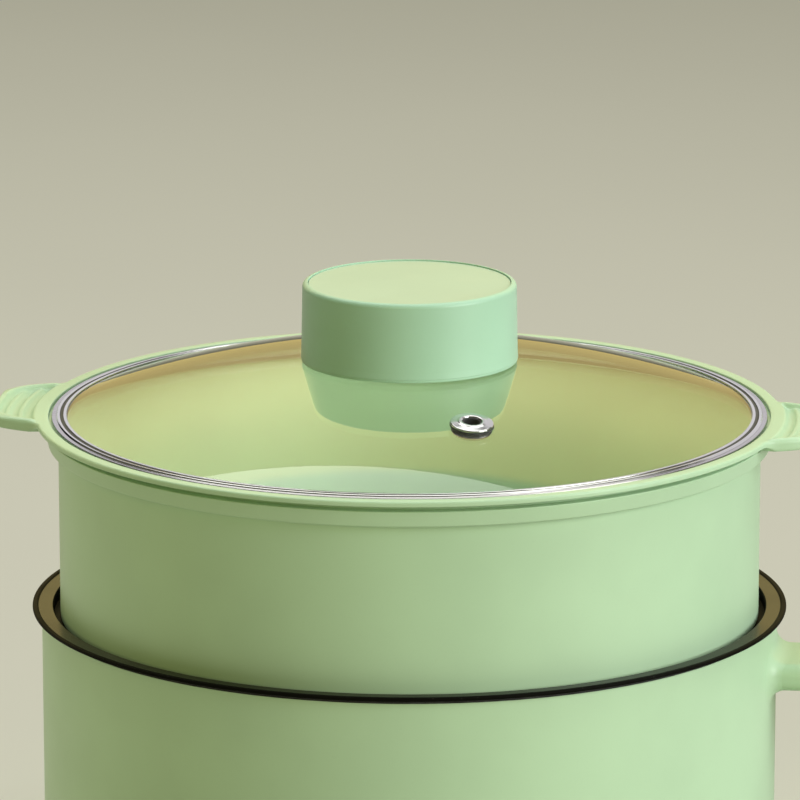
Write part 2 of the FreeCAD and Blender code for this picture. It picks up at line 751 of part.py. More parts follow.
def thermostat_bracket():
    """Sheet strip that presses the thermostat to the plate, with turned-up ends."""
    body = new_body("thermostat_bracket")
    top = f"({PLATE_UNDER} - stat_height / 3)"
    wing = "(clamp_reach + clamp_width / 2)"
    rise = "(clamp_reach - clamp_width / 2)"
    strip = outline(sketch_on(body, "XZ_Plane"),
                    (f"-{wing}", f"{PLATE_UNDER} - clamp_sheet"),
                    (f"-{rise}", f"{PLATE_UNDER} - clamp_sheet"),
                    (f"-{rise}", f"{top} - clamp_sheet"),
                    (rise, f"{top} - clamp_sheet"),
                    (rise, f"{PLATE_UNDER} - clamp_sheet"),
                    (wing, f"{PLATE_UNDER} - clamp_sheet"),
                    (wing, PLATE_UNDER),
                    (f"{rise} - clamp_sheet", PLATE_UNDER),
                    (f"{rise} - clamp_sheet", top),
                    (f"-{rise} + clamp_sheet", top),
                    (f"-{rise} + clamp_sheet", PLATE_UNDER),
                    (f"-{wing}", PLATE_UNDER))
    extrude(body, strip, "2 * stat_radius", both=True)
    neck = circle(sketch_on(body, "XY_Plane", top), "0", "0", "stat_neck + fit_gap")
    extrude(body, neck, "2 * clamp_sheet", cut=True)
    for side in ("-clamp_reach", "clamp_reach"):
        hole = circle(sketch_on(body, "XY_Plane", PLATE_UNDER), side, "0", "screw_radius")
        extrude(body, hole, "clamp_sheet", cut=True)


def bracket_screws():
    """Two screws whose heads clamp the thermostat's bracket."""
    screws = []
    for side in ("-clamp_reach", "clamp_reach"):
        low = f"({PLATE_UNDER} - clamp_sheet)"
        head = cylinder("head", "screw_head", "screw_head_height", side, "0", f"{low} - screw_head_height")
        shank = cylinder("shank", "screw_radius - 0.1", "clamp_sheet", side, "0", low)
        screws.append(joined("screw", head, shank))
    group("bracket_screws", screws)


def thermal_fuse():
    """Small barrel that lies against the plate, between the axis and one element end."""
    barrel = cylinder("thermal_fuse", "fuse_radius", "fuse_length",
                      FUSE_REACH, "-2 * tab_length",
                      f"{PLATE_UNDER} - fuse_radius")
    barrel.Placement.Rotation = FreeCAD.Rotation(FreeCAD.Vector(0, 1, 0), 90)
    keep(barrel, "thermal_fuse")


def heat_shield():
    """Bright sheet dish between the element and the bottom cover."""
    body = new_body("heat_shield")
    low = f"({SHIELD_TOP} - shield_sheet)"
    turn(body,
         ("0", low),
         ("shield_radius", low, "shield_lip / 2"),
         ("shield_radius", f"{SHIELD_TOP} + shield_lip"),
         ("shield_radius - shield_sheet", f"{SHIELD_TOP} + shield_lip"),
         ("shield_radius - shield_sheet", SHIELD_TOP, "shield_lip / 2 - shield_sheet"),
         ("0", SHIELD_TOP))
    hole = circle(sketch_on(body, "XY_Plane", SHIELD_TOP), "-stud_circle", "0", "stud_thread + fit_gap")
    repeat(body, [extrude(body, hole, "shield_sheet", cut=True)], "stud_count")


def stud_places():
    """The places of the studs that carry the heat shield, one of them opposite the handle."""
    for index in range(int(value("stud_count"))):
        angle = f"(180 + 360 / stud_count * {index})"
        yield f"stud_circle * cos{angle}", f"stud_circle * sin{angle}"


def shield_studs():
    studs = []
    for x, y in stud_places():
        pillar = cylinder("pillar", "stud_radius", "shield_gap", x, y, SHIELD_TOP)
        tail = "(shield_sheet + nut_height + fit_gap)"
        thread = cylinder("thread", "stud_thread", tail, x, y, f"{SHIELD_TOP} - {tail}")
        studs.append(joined("stud", pillar, thread))
    group("shield_studs", studs)


def hexagon(name, radius, bore, height, x, y, z):
    """A hexagon nut."""
    prism = doc.addObject("Part::Prism", f"{name}_prism")
    prism.Polygon = 6
    bind(prism, Circumradius=radius, Height=height,
         Placement__Base__x=x, Placement__Base__y=y, Placement__Base__z=z)
    return less(name, prism, cylinder(f"{name}_bore", bore, height, x, y, z))


def shield_nuts():
    low = f"({SHIELD_TOP} - shield_sheet - nut_height)"
    nuts = [hexagon("nut", "2 * stud_thread", "stud_thread + 0.05", "nut_height", x, y, low)
            for x, y in stud_places()]
    group("shield_nuts", nuts)


# ---------------------------------------------------------------- power inlet and wiring

def pin_places():
    """The three pins across the socket: two live pins and the earth pin between them."""
    return (("-pin_spacing", "inlet_height - pin_offset / 2"),
            ("0", "inlet_height + pin_offset / 2"),
            ("pin_spacing", "inlet_height - pin_offset / 2"))


def power_inlet():
    """Appliance socket with a flange, open to the outside."""
    body = new_body("power_inlet")
    case = block(sketch_on(body, "YZ_Plane", "inlet_face"), "-inlet_width / 2", "inlet_width / 2",
                 "inlet_height - inlet_tall / 2", "inlet_height + inlet_tall / 2")
    extrude(body, case, "inlet_depth", flip=True)
    flange = block(sketch_on(body, "YZ_Plane", "inlet_face"),
                   "-inlet_width / 2 - inlet_border / 2", "inlet_width / 2 + inlet_border / 2",
                   "inlet_height - inlet_tall / 2 - inlet_border / 4",
                   "inlet_height + inlet_tall / 2 + inlet_border / 4", "inlet_border / 2")
    extrude(body, flange, "inlet_flange")
    socket = block(sketch_on(body, "YZ_Plane", "inlet_face + inlet_flange"),
                   "-inlet_width / 2 + socket_wall", "inlet_width / 2 - socket_wall",
                   "inlet_height - inlet_tall / 2 + socket_wall",
                   "inlet_height + inlet_tall / 2 - socket_wall", "socket_wall")
    extrude(body, socket, "socket_depth", cut=True)
    for across, up in pin_places():
        slit = block(sketch_on(body, "YZ_Plane", "inlet_face"),
                     f"{across} - pin_thickness / 2", f"{across} + pin_thickness / 2",
                     f"{up} - pin_width / 2", f"{up} + pin_width / 2")
        extrude(body, slit, "inlet_depth + 1", cut=True)


def inlet_pins():
    blades = []
    back = "(inlet_face - inlet_depth - pin_tail)"
    front = "(inlet_face + inlet_flange - socket_depth + pin_length)"
    for across, up in pin_places():
        blades.append(box("pin", f"{front} - {back}", "pin_thickness", "pin_width",
                          back, f"{across} - pin_thickness / 2", f"{up} - pin_width / 2"))
    group("inlet_pins", blades)


def bent_wire(*places):
    """A round wire along straight runs joined by tangent arcs."""
    corners = [point(*place) for place in places]
    radius = value("wire_radius")
    edges = []
    start = corners[0]
    for before, corner, after in zip(corners, corners[1:], corners[2:]):
        inward = (before - corner).normalize()
        outward = (after - corner).normalize()
        shorter = min(before.distanceToPoint(corner), after.distanceToPoint(corner))
        trim = min(0.42 * shorter, 4 * radius)
        middle = (inward + outward).normalize()
        half = inward.getAngle(outward) / 2
        reach = trim / math.cos(half) - trim * math.tan(half)
        first = corner + inward * trim
        last = corner + outward * trim
        edges.append(Part.LineSegment(start, first).toShape())
        edges.append(Part.Arc(first, corner + middle * reach, last).toShape())
        start = last
    edges.append(Part.LineSegment(start, corners[-1]).toShape())
    path = Part.Wire(edges)
    section = Part.Wire(Part.makeCircle(radius, corners[0], corners[1] - corners[0]))
    return path.makePipeShell([section], True, True)


def run_to_tab(side):
    """The last two places of a lead that ends just short of a tab of the element."""
    tab_end = "fit_gap + lead_length + tab_length"
    near = lead_point(side, f"({tab_end} + 6)")
    last = lead_point(side, f"({tab_end} + close_gap)")
    return (*near, TAB_MIDDLE), (*last, TAB_MIDDLE)


def wiring_leads():
    """Leads from the inlet to the switch, the thermostat, the fuse and the element."""
    pin_back = "(inlet_face - inlet_depth - pin_tail - wire_radius / 4)"
    pin_level = "(inlet_height - pin_offset / 2)"
    gap_middle = f"(0.5 * ({POT_OUTER} + {BRACKET_BACK}) - bracket_sheet / 2)"
    loft = f"({HANDLE_CEILING} - wire_radius - fit_gap)"
    switch_tab = "(dial_reach - switch_side / 2 - tab_length / 2 - 0.6 * wire_radius)"
    tab_level = f"({SWITCH_TOP} - switch_height / 2)"
    elbow = f"({pin_back} - 6)"
    under_pot = f"({POT_UNDER} + 13)"
    fuse_level = f"({PLATE_UNDER} - fuse_radius)"
    stat_tab = "(stat_neck + tab_length + 0.6 * wire_radius)"
    stat_level = f"({PLATE_UNDER} - stat_height + 1 + tab_thickness / 2)"
    neutral = bent_wire((pin_back, "pin_spacing", pin_level),
                        (f"{pin_back} - 12", "pin_spacing", f"{pin_level} + 1"),
                        *run_to_tab(1))
    live = bent_wire((pin_back, "-pin_spacing", pin_level),
                     (elbow, "-pin_spacing", f"{pin_level} + 1"),
                     (f"{elbow} + 2", "-pin_spacing", f"{pin_level} + 12"),
                     (gap_middle, f"-{LEAD_SIDE}", under_pot),
                     (gap_middle, f"-{LEAD_SIDE}", loft),
                     (f"{switch_tab} - 8", f"-{LEAD_SIDE}", loft),
                     (switch_tab, f"-{LEAD_SIDE}", tab_level))
    switched = bent_wire((switch_tab, LEAD_SIDE, tab_level),
                         (f"{switch_tab} - 8", LEAD_SIDE, loft),
                         (gap_middle, LEAD_SIDE, loft),
                         (gap_middle, LEAD_SIDE, under_pot),
                         (f"{elbow} + 3", f"{LEAD_SIDE} + 6", f"{pin_level} + 12"),
                         (f"{elbow} - 20", f"{LEAD_SIDE} + 6", f"{PLATE_UNDER} - 8"),
                         (f"{stat_tab} + 14", f"{LEAD_SIDE} - 4", f"{stat_level} + 1"),
                         (stat_tab, "2 / 3 * tab_width", stat_level))
    fused = bent_wire((stat_tab, "-2 / 3 * tab_width", stat_level),
                      (f"{stat_tab} + 8", "-tab_length", f"{stat_level} + 1"),
                      (f"{FUSE_REACH} - 6", "-2 * tab_length", fuse_level),
                      (FUSE_REACH, "-2 * tab_length", fuse_level))
    heater = bent_wire((f"{FUSE_REACH} + fuse_length", "-2 * tab_length", fuse_level),
                       (f"{FUSE_REACH} + fuse_length + 3", "-2 * tab_length", fuse_level),
                       *run_to_tab(-1))
    feature = doc.addObject("Part::Feature", "wiring_leads")
    feature.Shape = Part.makeCompound([neutral, live, switched, fused, heater])
    keep(feature, "wiring_leads")


# ---------------------------------------------------------------- handle

def side_profile(sketch, inset):
    """The handle seen from the side: flat top, slim neck and a belly under the dial."""
    low = f"({HANDLE_TOP} - belly_depth + {inset})"
    neck = f"({HANDLE_TOP} - root_depth + {inset})"
    start = f"(root_reach + fit_gap - {inset} / 10)"
    end = f"(tip_reach - {inset})"
    return outline(sketch,
                   (start, neck),
                   ("neck_reach", neck, "belly_round / 2"),
                   ("belly_reach", low, "belly_round"),
                   ("waist_reach", low, "4 * belly_round"),
                   (end, f"{HANDLE_TOP} - tip_depth + {inset}"),
                   (end, f"{HANDLE_TOP} - {inset}"),
                   (start, f"{HANDLE_TOP} - {inset}"))


def plan_corners(inset):
    """The handle seen from above, as corners round from the root on the -Y side."""
    near = (("root_width", f"root_reach + fit_gap - {inset} / 10"),
            ("root_width", "neck_reach", "belly_round"),
            ("dial_width", "belly_reach", "belly_round"),
            ("dial_width", "2 * dial_reach - belly_reach", "belly_round"),
            ("waist_width", "waist_reach", "2 * belly_round"),
            ("tip_width", f"tip_reach - {inset}", f"tip_round - {inset}"))
    right = [(reach, f"-({width} / 2 - {inset})", *more) for width, reach, *more in near]
    left = [(reach, f"{width} / 2 - {inset}", *more) for width, reach, *more in reversed(near)]
    return right + left


def handle_form(body, inset):
    """The side profile as wide as the handle, trimmed to its plan."""
    extrude(body, side_profile(sketch_on(body, "XZ_Plane"), inset), "dial_width + 2 * tip_round", both=True)
    waste = sketch_on(body, "XY_Plane", HANDLE_TOP)
    block(waste, "pot_bore", "tip_reach + tip_round", "-dial_width", "dial_width")
    outline(waste, *plan_corners(inset))
    extrude(body, waste, "2 * belly_depth", cut=True)


def long_edge(edge):
    """True for the edges that run round the handle's top and bottom, not across or upright."""
    ends = [vertex.Point for vertex in edge.Vertexes]
    span = ends[-1] - ends[0]
    at_root = all(end.x < value("root_reach + 1") for end in ends)
    at_tip = all(end.x > value("tip_reach - 0.1") for end in ends)
    upright = abs(span.z) > 0.9 * span.Length
    across = abs(span.x) < 0.01
    return not at_root and not upright and (at_tip or not across)


def handle_shell(label, upper):
    """One half of the hollow handle, on one side of the seam, with its share of the screw posts."""
    core = doc.addObject("PartDesign::Body", f"{label}_core")
    handle_form(core, "handle_wall")
    for reach in ("front_screw", "rear_screw"):
        post = circle(sketch_on(core, "XY_Plane", HANDLE_TOP), reach, "0", "handle_boss")
        extrude(core, post, "2 * belly_depth", cut=True)
    body = new_body(label)
    handle_form(body, "0")
    fillet_edges(body, long_edge, "handle_edge")
    hollow = body.newObject("PartDesign::Boolean", f"{label}_hollow")
    hollow.Type = "Cut"
    hollow.Group = [core]
    body.Tip = hollow
    other_side = block(sketch_on(body, "XY_Plane", SEAM), "pot_bore", "tip_reach + tip_round",
                       "-dial_width", "dial_width")
    extrude(body, other_side, "belly_depth", cut=True, flip=not upper)
    return body


def drill(body, reach, level, radius, depth, upward=False):
    """A round pocket on the handle's middle line, downward or upward from a level."""
    hole = circle(sketch_on(body, "XY_Plane", level), reach, "0", radius)
    return extrude(body, hole, depth, cut=True, flip=upward)


def handle_upper_shell():
    """Top half with the openings for the switch and the lamp, and blind screw posts."""
    body = handle_shell("handle_upper_shell", upper=True)
    drill(body, "dial_reach", HANDLE_TOP, "bushing_radius + 0.1", "2 * handle_wall")
    drill(body, "lens_reach", HANDLE_TOP, "lens_radius", "2 * handle_wall")
    drill(body, "front_screw", SEAM, "handle_boss + 0.1", f"{STRIP_TOP} - {SEAM} + 0.1", upward=True)
    for reach in ("front_screw", "rear_screw"):
        drill(body, reach, SEAM, "screw_radius", f"{HANDLE_CEILING} - {SEAM}", upward=True)


def handle_lower_shell():
    """Bottom half with two counterbored screw posts."""
    body = handle_shell("handle_lower_shell", upper=False)
    drill(body, "front_screw", SEAM, "handle_boss + 0.1", f"{SEAM} - {ROOT_FLOOR} + 0.05")
    for reach, low in (("front_screw", FRONT_LOW), ("rear_screw", REAR_LOW)):
        drill(body, reach, SEAM, "screw_radius + fit_gap", "belly_depth")
        drill(body, reach, f"{low} + screw_sink", "screw_head", "belly_depth")


def handle_screws():
    """Two screws from below that hold the shells and the bracket together."""
    screws = []
    for reach, low in (("front_screw", FRONT_LOW), ("rear_screw", REAR_LOW)):
        seat = f"({low} + screw_sink)"
        head = cylinder("head", "screw_head - 0.2", "screw_head_height", reach, "0",
                        f"{seat} - screw_head_height")
        shank = cylinder("shank", "screw_radius", f"{HANDLE_CEILING} - {seat} - 0.5", reach, "0", seat)
        screws.append(joined("screw", head, shank))
    group("handle_screws", screws)


def handle_bracket():
    """Bent strip that ties the handle to the inside of the housing."""
    body = new_body("handle_bracket")
    profile = outline(sketch_on(body, "XZ_Plane"),
                      (f"{BRACKET_BACK} - bracket_sheet", f"{STRIP_TOP} - bracket_drop"),
                      (BRACKET_BACK, f"{STRIP_TOP} - bracket_drop"),
                      (BRACKET_BACK, ROOT_FLOOR),
                      ("bracket_reach", ROOT_FLOOR),
                      ("bracket_reach", STRIP_TOP),
                      (f"{BRACKET_BACK} - bracket_sheet", STRIP_TOP))
    extrude(body, profile, "bracket_width", both=True)
    hole = circle(sketch_on(body, "XY_Plane", STRIP_TOP), "front_screw", "0", "screw_radius + fit_gap")
    extrude(body, hole, "bracket_sheet", cut=True)


# ---------------------------------------------------------------- switch, dial and lamp

def rotary_switch():
    """Switch case with a threaded bushing, a bore for the shaft and two tabs."""
    body = new_body("rotary_switch")
    half = "switch_side / 2"
    case = block(sketch_on(body, "XY_Plane", SWITCH_TOP), f"dial_reach - {half}", f"dial_reach + {half}",
                 f"-{half}", half, "1.5")
    extrude(body, case, "switch_height", flip=True)
    neck = circle(sketch_on(body, "XY_Plane", SWITCH_TOP), "dial_reach", "0", "bushing_radius")
    extrude(body, neck, f"{BUSHING_TOP} - {SWITCH_TOP}")
    bore = circle(sketch_on(body, "XY_Plane", BUSHING_TOP), "dial_reach", "0", "shaft_radius + shaft_play")
    extrude(body, bore, f"{BUSHING_TOP} - {SWITCH_TOP} + switch_height - 3", cut=True)
    for middle in (LEAD_SIDE, f"-{LEAD_SIDE}"):
        tab = block(sketch_on(body, "XY_Plane", f"{SWITCH_TOP} - switch_height / 2"),
                    f"dial_reach - {half} - tab_length / 2", f"dial_reach - {half} + 1",
                    f"{middle} - tab_width / 2", f"{middle} + tab_width / 2")
        extrude(body, tab, "tab_thickness")


def switch_nut():
    nut = hexagon("switch_nut", "1.6 * bushing_radius", "bushing_radius + 0.05",
                  "bushing_rise - bezel_sheet - fit_gap", "dial_reach", "0", BEZEL_TOP)
    keep(nut, "switch_nut")


def dial_bezel():
    """Flat ring under the dial that carries its scale."""
    plate = cylinder("bezel_plate", "bezel_radius", "bezel_sheet", "dial_reach", "0", HANDLE_TOP)
    bore = cylinder("bezel_bore", "bushing_radius + 0.1", "bezel_sheet", "dial_reach", "0", HANDLE_TOP)
    keep(less("dial_bezel", plate, bore), "dial_bezel")


def dial_knob():
    """Fluted drum with a dished top, hollow below to clear the nut."""
    body = new_body("dial_knob")
    top = f"({DIAL_TOP} - {DIAL_FOOT})"
    roof = f"({DIAL_ROOF} - {DIAL_FOOT})"
    rim = "(dial_radius - dial_draft)"
    turn(body,
         ("shaft_radius", roof),
         ("dial_radius - dial_shell", roof),
         ("dial_radius - dial_shell", "0"),
         ("dial_radius", "0"),
         (rim, top, "1"),
         (f"{rim} - 2", top),
         (f"{rim} - 2 - dial_dish", f"{top} - dial_dish"),
         ("shaft_radius", f"{top} - dial_dish"))
    flute = circle(sketch_on(body, "XY_Plane", "2"), "dial_radius + 0.4 * flute_radius", "0", "flute_radius")
    repeat(body, [extrude(body, flute, f"{top}", cut=True, flip=True)], "flute_count")
    bind(body, Placement__Base__x="dial_reach", Placement__Base__z=DIAL_FOOT)


def dial_shaft():
    low = f"({SWITCH_TOP} - switch_height + 3 + fit_gap)"
    shaft = cylinder("dial_shaft", "shaft_radius", f"{DIAL_TOP} - dial_dish - {low}", "dial_reach", "0", low)
    keep(shaft, "dial_shaft")


def indicator_lens():
    body = new_body("indicator_lens")
    turn(body,
         ("0", "0"),
         ("lens_radius", "0"),
         ("lens_radius", "handle_wall + lens_rise", "lens_rise"),
         ("0", "handle_wall + lens_rise"))
    bind(body, Placement__Base__x="lens_reach", Placement__Base__z=HANDLE_CEILING)


def indicator_lamp():
    lamp = cylinder("indicator_lamp", "lens_radius - 0.4", "lamp_length", "lens_reach", "0",
                    f"{HANDLE_CEILING} - lamp_length")
    keep(lamp, "indicator_lamp")


# ---------------------------------------------------------------- steamer basket

def steamer_basket():
    """Stacking basket: shouldered foot, pierced floor, flared mouth and two ears."""
    body = new_body("steamer_basket")
    foot_radius = "(steamer_radius - steamer_draft)"
    turn(body,
         ("0", BASKET_UNDER),
         (INSERT_RADIUS, BASKET_UNDER, "insert_round"),
         (INSERT_RADIUS, SHOULDER),
         (foot_radius, SHOULDER, "shoulder_round"),
         ("steamer_radius", f"{MOUTH} - flare_foot_drop - 1"),
         ("flare_foot", f"{MOUTH} - flare_foot_drop"),
         ("flare_radius", f"{MOUTH} - flare_top_drop", "1.2"),
         ("lip_radius", f"{MOUTH} - lip_height", "0.5"),
         ("lip_radius", MOUTH, "0.7"),
         ("0", MOUTH))
    for side in (1, -1):
        extrude(body, ear_outline(body, side), "ear_thickness", flip=True)
    hollow_basket(body)
    for side in (1, -1):
        ear_relief(body, side)
    pierce_floor(body)


def ear_outline(body, side):
    """Plan of one ear: coves beside the rim, tapering sides and a rounded end."""
    root = "(sqrt(lip_radius^2 - ear_width^2 / 4) + 0.4)"
    start = "(ear_width / 2 + 9)"
    inside = f"(sqrt((lip_radius - 0.6)^2 - {start}^2))"
    tip = "(ear_tip_width / 2)"
    return outline(sketch_on(body, "XY_Plane", MOUTH),
                   (f"{side} * {inside}", f"-{side} * {start}"),
                   (f"{side} * {root}", f"-{side} * ear_width / 2", "ear_cove"),
                   (f"{side} * ear_reach", f"-{side} * {tip}", "ear_round"),
                   (f"{side} * ear_reach", f"{side} * {tip}", "ear_round"),
                   (f"{side} * {root}", f"{side} * ear_width / 2", "ear_cove"),
                   (f"{side} * {inside}", f"{side} * {start}"))


def hollow_basket(body):
    """Cut the basket's inside: foot, wall, lid seat."""
    inner_foot = f"({INSERT_RADIUS} - steamer_wall)"
    turn(body,
         ("0", BASKET_FLOOR),
         (inner_foot, BASKET_FLOOR, "insert_round - steamer_wall"),
         (inner_foot, f"{SHOULDER} + steamer_wall"),
         (f"{BASKET_BORE} - steamer_draft", f"{SHOULDER} + steamer_wall + 2.5"),
         (BASKET_BORE, f"{MOUTH} - flare_foot_drop + 1"),
         ("seat_radius - seat_ledge", f"{MOUTH} - seat_depth"),
         ("seat_radius", f"{MOUTH} - seat_depth"),
         ("seat_radius", f"{MOUTH} + 1"),
         ("0", f"{MOUTH} + 1"),
         cut=True)


def ear_relief(body, side):
    """Three shallow curved grooves across an ear, parallel to the rim."""
    for index in range(3):
        middle = f"(lip_radius + ear_border + rib_pitch * {index + 0.5})"
        reach = f"(ear_tip_width / 2 - ear_border - {index} * ear_border / 2)"
        groove = arc_slot(sketch_on(body, "XY_Plane", MOUTH), side, middle, "rib_width", reach)
        extrude(body, groove, "ear_dish", cut=True)


def arc_slot(sketch, side, middle, width, half_length):
    """A slot bent about the pot's axis, with flat ends along radii."""
    half_angle = math.asin(value(half_length) / value(middle))
    facing = 0 if side > 0 else math.pi
    angles = (facing - half_angle, facing + half_angle)
    radii = (f"{middle} - {width} / 2", f"{middle} + {width} / 2")
    axis = FreeCAD.Vector(0, 0, 1)
    arcs = []
    for radius in radii:
        arcs.append(sketch.addGeometry(Part.ArcOfCircle(
            Part.Circle(FreeCAD.Vector(0, 0, 0), axis, value(radius)), *angles)))
        sketch.addConstraint(Sketcher.Constraint("Coincident", arcs[-1], 3, -1, 1))
        drive(sketch, "Radius", arcs[-1], text=radius)
    for end, sign in ((1, -1), (2, 1)):
        tips = [sketch.getPoint(arc, end) for arc in arcs]
        cap = sketch.addGeometry(Part.LineSegment(*tips))
        sketch.addConstraint(Sketcher.Constraint("Coincident", arcs[0], end, cap, 1))
        sketch.addConstraint(Sketcher.Constraint("Coincident", arcs[1], end, cap, 2))
        sketch.addConstraint(Sketcher.Constraint("Horizontal", cap))
        drive(sketch, "DistanceY", -1, 1, cap, 1, text=f"{sign * side} * {half_length}")
    return sketch


def pierce_floor(body):
    """Rings of round steam holes around one in the middle."""
    centre = circle(sketch_on(body, "XY_Plane", BASKET_UNDER), "0", "0", "hole_radius")
    extrude(body, centre, "steamer_wall", cut=True, flip=True)
    rings = int(value(f"({INSERT_RADIUS} - insert_round - hole_radius) / hole_pitch"))
    for ring in range(1, rings):
        hole = circle(sketch_on(body, "XY_Plane", BASKET_UNDER), f"hole_pitch * {ring}", "0", "hole_radius")
        repeat(body, [extrude(body, hole, "steamer_wall", cut=True, flip=True)], str(6 * ring))


# ---------------------------------------------------------------- lid

def lid_glass():
    """Pressed glass dome of even thickness with holes for the knob and the vent."""
    body = new_body("lid_glass")
    sketch = sketch_on(body, "XZ_Plane")
    axis = FreeCAD.Vector(0, 0, 1)
    centre = FreeCAD.Vector(0, value(DOME_CENTRE), 0)
    arcs = []
    for radius in (DOME_INNER, "dome_radius"):
        lowest = math.acos(value("glass_radius") / value(radius))
        dome = Part.ArcOfCircle(Part.Circle(centre, axis, value(radius)), lowest, math.pi / 2)
        arcs.append(sketch.addGeometry(dome))
        place(sketch, arcs[-1], 3, "0", DOME_CENTRE)
        drive(sketch, "Radius", arcs[-1], text=radius)
    for end in (1, 2):
        tips = [sketch.getPoint(arc, end) for arc in arcs]
        side = sketch.addGeometry(Part.LineSegment(*tips))
        sketch.addConstraint(Sketcher.Constraint("Coincident", arcs[0], end, side, 1))
        sketch.addConstraint(Sketcher.Constraint("Coincident", arcs[1], end, side, 2))
        sketch.addConstraint(Sketcher.Constraint("Vertical", side))
        if end == 1:
            drive(sketch, "DistanceX", -1, 1, side, 1, text="glass_radius")
        else:
            sketch.addConstraint(Sketcher.Constraint("PointOnObject", side, 1, -2))
    turn_sketch(body, sketch)
    knob_hole = circle(sketch_on(body, "XY_Plane", CROWN), "0", "0", "glass_hole")
    extrude(body, knob_hole, "2 * glass_thickness", cut=True)
    vent_hole = circle(sketch_on(body, "XY_Plane", CROWN), *vent_place(), "vent_sleeve + 2 * fit_gap")
    extrude(body, vent_hole, "2 * glass_rise", cut=True)


def lid_rim_band():
    """Stepped metal band folded around the edge of the glass."""
    body = new_body("lid_rim_band")
    seat = f"({MOUTH} - seat_depth + fit_gap)"
    edge = "(glass_radius + fit_gap)"
    glass_low = f"(sqrt({DOME_INNER}^2 - glass_radius^2) + {DOME_CENTRE} - 0.1)"
    turn(body,
         ("band_radius", f"{seat} + 0.3"),
         ("band_radius", f"{MOUTH} - 0.1"),
         ("band_radius - 0.6", f"{MOUTH} + 0.1"),
         ("band_hollow + band_sheet", f"{MOUTH} - 0.5"),
         ("band_hollow", f"{MOUTH} - 1.1"),
         ("band_hollow - 1", f"{MOUTH} - 1.1"),
         ("band_hollow - 1.2", f"{MOUTH} + 0.4"),
         ("band_hollow - 1.7", f"{MOUTH} + band_sheet + 0.2"),
         ("band_lip", f"{MOUTH} + band_sheet + 0.1"),
         ("band_lip", f"{MOUTH} + 0.2"),
         (edge, f"{MOUTH} - 0.1"),
         (edge, glass_low),
         ("band_lip - 1.2", glass_low),
         ("band_lip - 1.2", f"{glass_low} - band_sheet"),
         (f"{edge} + band_sheet", f"{glass_low} - band_sheet", "band_sheet / 2"),
         (f"{edge} + band_sheet", seat))


def vent_place():
    """The vent's place seen from above."""
    return "vent_reach * cos(vent_angle)", "vent_reach * sin(vent_angle)"


def tilt_onto_glass(body):
    """Stand a turned piece on the dome at the vent, square to the glass."""
    x, y = vent_place()
    outward = point(x, y, "0").normalize()
    lean = math.degrees(math.asin(value("vent_reach / dome_radius")))
    body.Placement.Rotation = FreeCAD.Rotation(FreeCAD.Vector(0, 0, 1).cross(outward), lean)
    height = f"({DOME_CENTRE} + sqrt(dome_radius^2 - vent_reach^2))"
    bind(body, Placement__Base__x=x, Placement__Base__y=y, Placement__Base__z=height)


def vent_eyelet():
    """Rolled metal eyelet: raised collar above the glass, sleeve and turned-out foot."""
    body = new_body("vent_eyelet")
    low = "(-glass_thickness - vent_washer)"
    turn(body,
         ("vent_bore", "vent_rise", "0.8"),
         ("vent_sleeve + 1.2", "vent_rise", "1.4"),
         ("vent_flange", "vent_washer + 0.9", "0.3"),
         ("vent_flange", "vent_washer"),
         ("vent_sleeve", "vent_washer"),
         ("vent_sleeve", low),
         ("vent_flange - 1", low),
         ("vent_flange - 1", f"{low} - 0.8"),
         ("vent_bore", f"{low} - 0.8"))
    tilt_onto_glass(body)


def vent_seals():
    """Two soft rings, above and below the glass at the vent."""
    body = new_body("vent_seals")
    for low, high in (("0.08", "vent_washer"), ("-glass_thickness - vent_washer", "-glass_thickness - 0.08")):
        ring = block(sketch_on(body, "XZ_Plane"), "vent_sleeve + 0.05", "vent_flange - 0.8", low, high)
        turn_sketch(body, ring)
    tilt_onto_glass(body)


# ---------------------------------------------------------------- lid knob

def knob_shell():
    """Drum-shaped grip: drafted wall with a small foot lip, floor and screw post."""
    body = new_body("knob_shell")
    floor = f"({KNOB_FLOOR} + knob_wall)"
    turn(body,
         ("insert_radius", KNOB_FLOOR),
         ("knob_foot_radius - knob_wall", KNOB_FLOOR),
         ("knob_foot_radius - knob_wall", KNOB_FOOT),
         ("knob_foot_radius + knob_lip", KNOB_FOOT, "0.5"),
         ("knob_foot_radius + knob_lip", f"{KNOB_FOOT} + 1.6"),
         ("knob_foot_radius", f"{KNOB_FOOT} + 2"),
         ("knob_top_radius", KNOB_TOP, "0.8"),
         ("knob_top_radius - knob_rim", KNOB_TOP, "0.4"),
         ("knob_top_radius - knob_rim", f"{CAP_TOP} - cap_thickness"),
         ("knob_top_radius - knob_rim - 1", f"{CAP_TOP} - cap_thickness"),
         ("knob_foot_radius - knob_wall - 1", floor),
         ("insert_radius + knob_wall", floor),
         ("insert_radius + knob_wall", f"{KNOB_FLOOR} + insert_length"),
         ("insert_radius", f"{KNOB_FLOOR} + insert_length"))


def knob_cap():
    """Recessed top disc with a locating skirt."""
    body = new_body("knob_cap")
    under = f"({CAP_TOP} - cap_thickness)"
    skirt = "(knob_top_radius - knob_rim - 1 - fit_gap)"
    turn(body,
         ("0", under),
         (f"{skirt} - knob_wall", under),
         (f"{skirt} - knob_wall", f"{under} - cap_skirt"),
         (f"{skirt} - 0.6", f"{under} - cap_skirt"),
         (skirt, under),
         (CAP_RADIUS, under),
         (CAP_RADIUS, CAP_TOP),
         ("0", CAP_TOP))


def knob_insert():
    """Threaded metal sleeve in the knob's post."""
    sleeve = cylinder("insert_body", "insert_radius", "insert_length", z=KNOB_FLOOR)
    bore = cylinder("insert_bore", "knob_bolt + 0.05", "insert_length", z=KNOB_FLOOR)
    keep(less("knob_insert", sleeve, bore), "knob_insert")


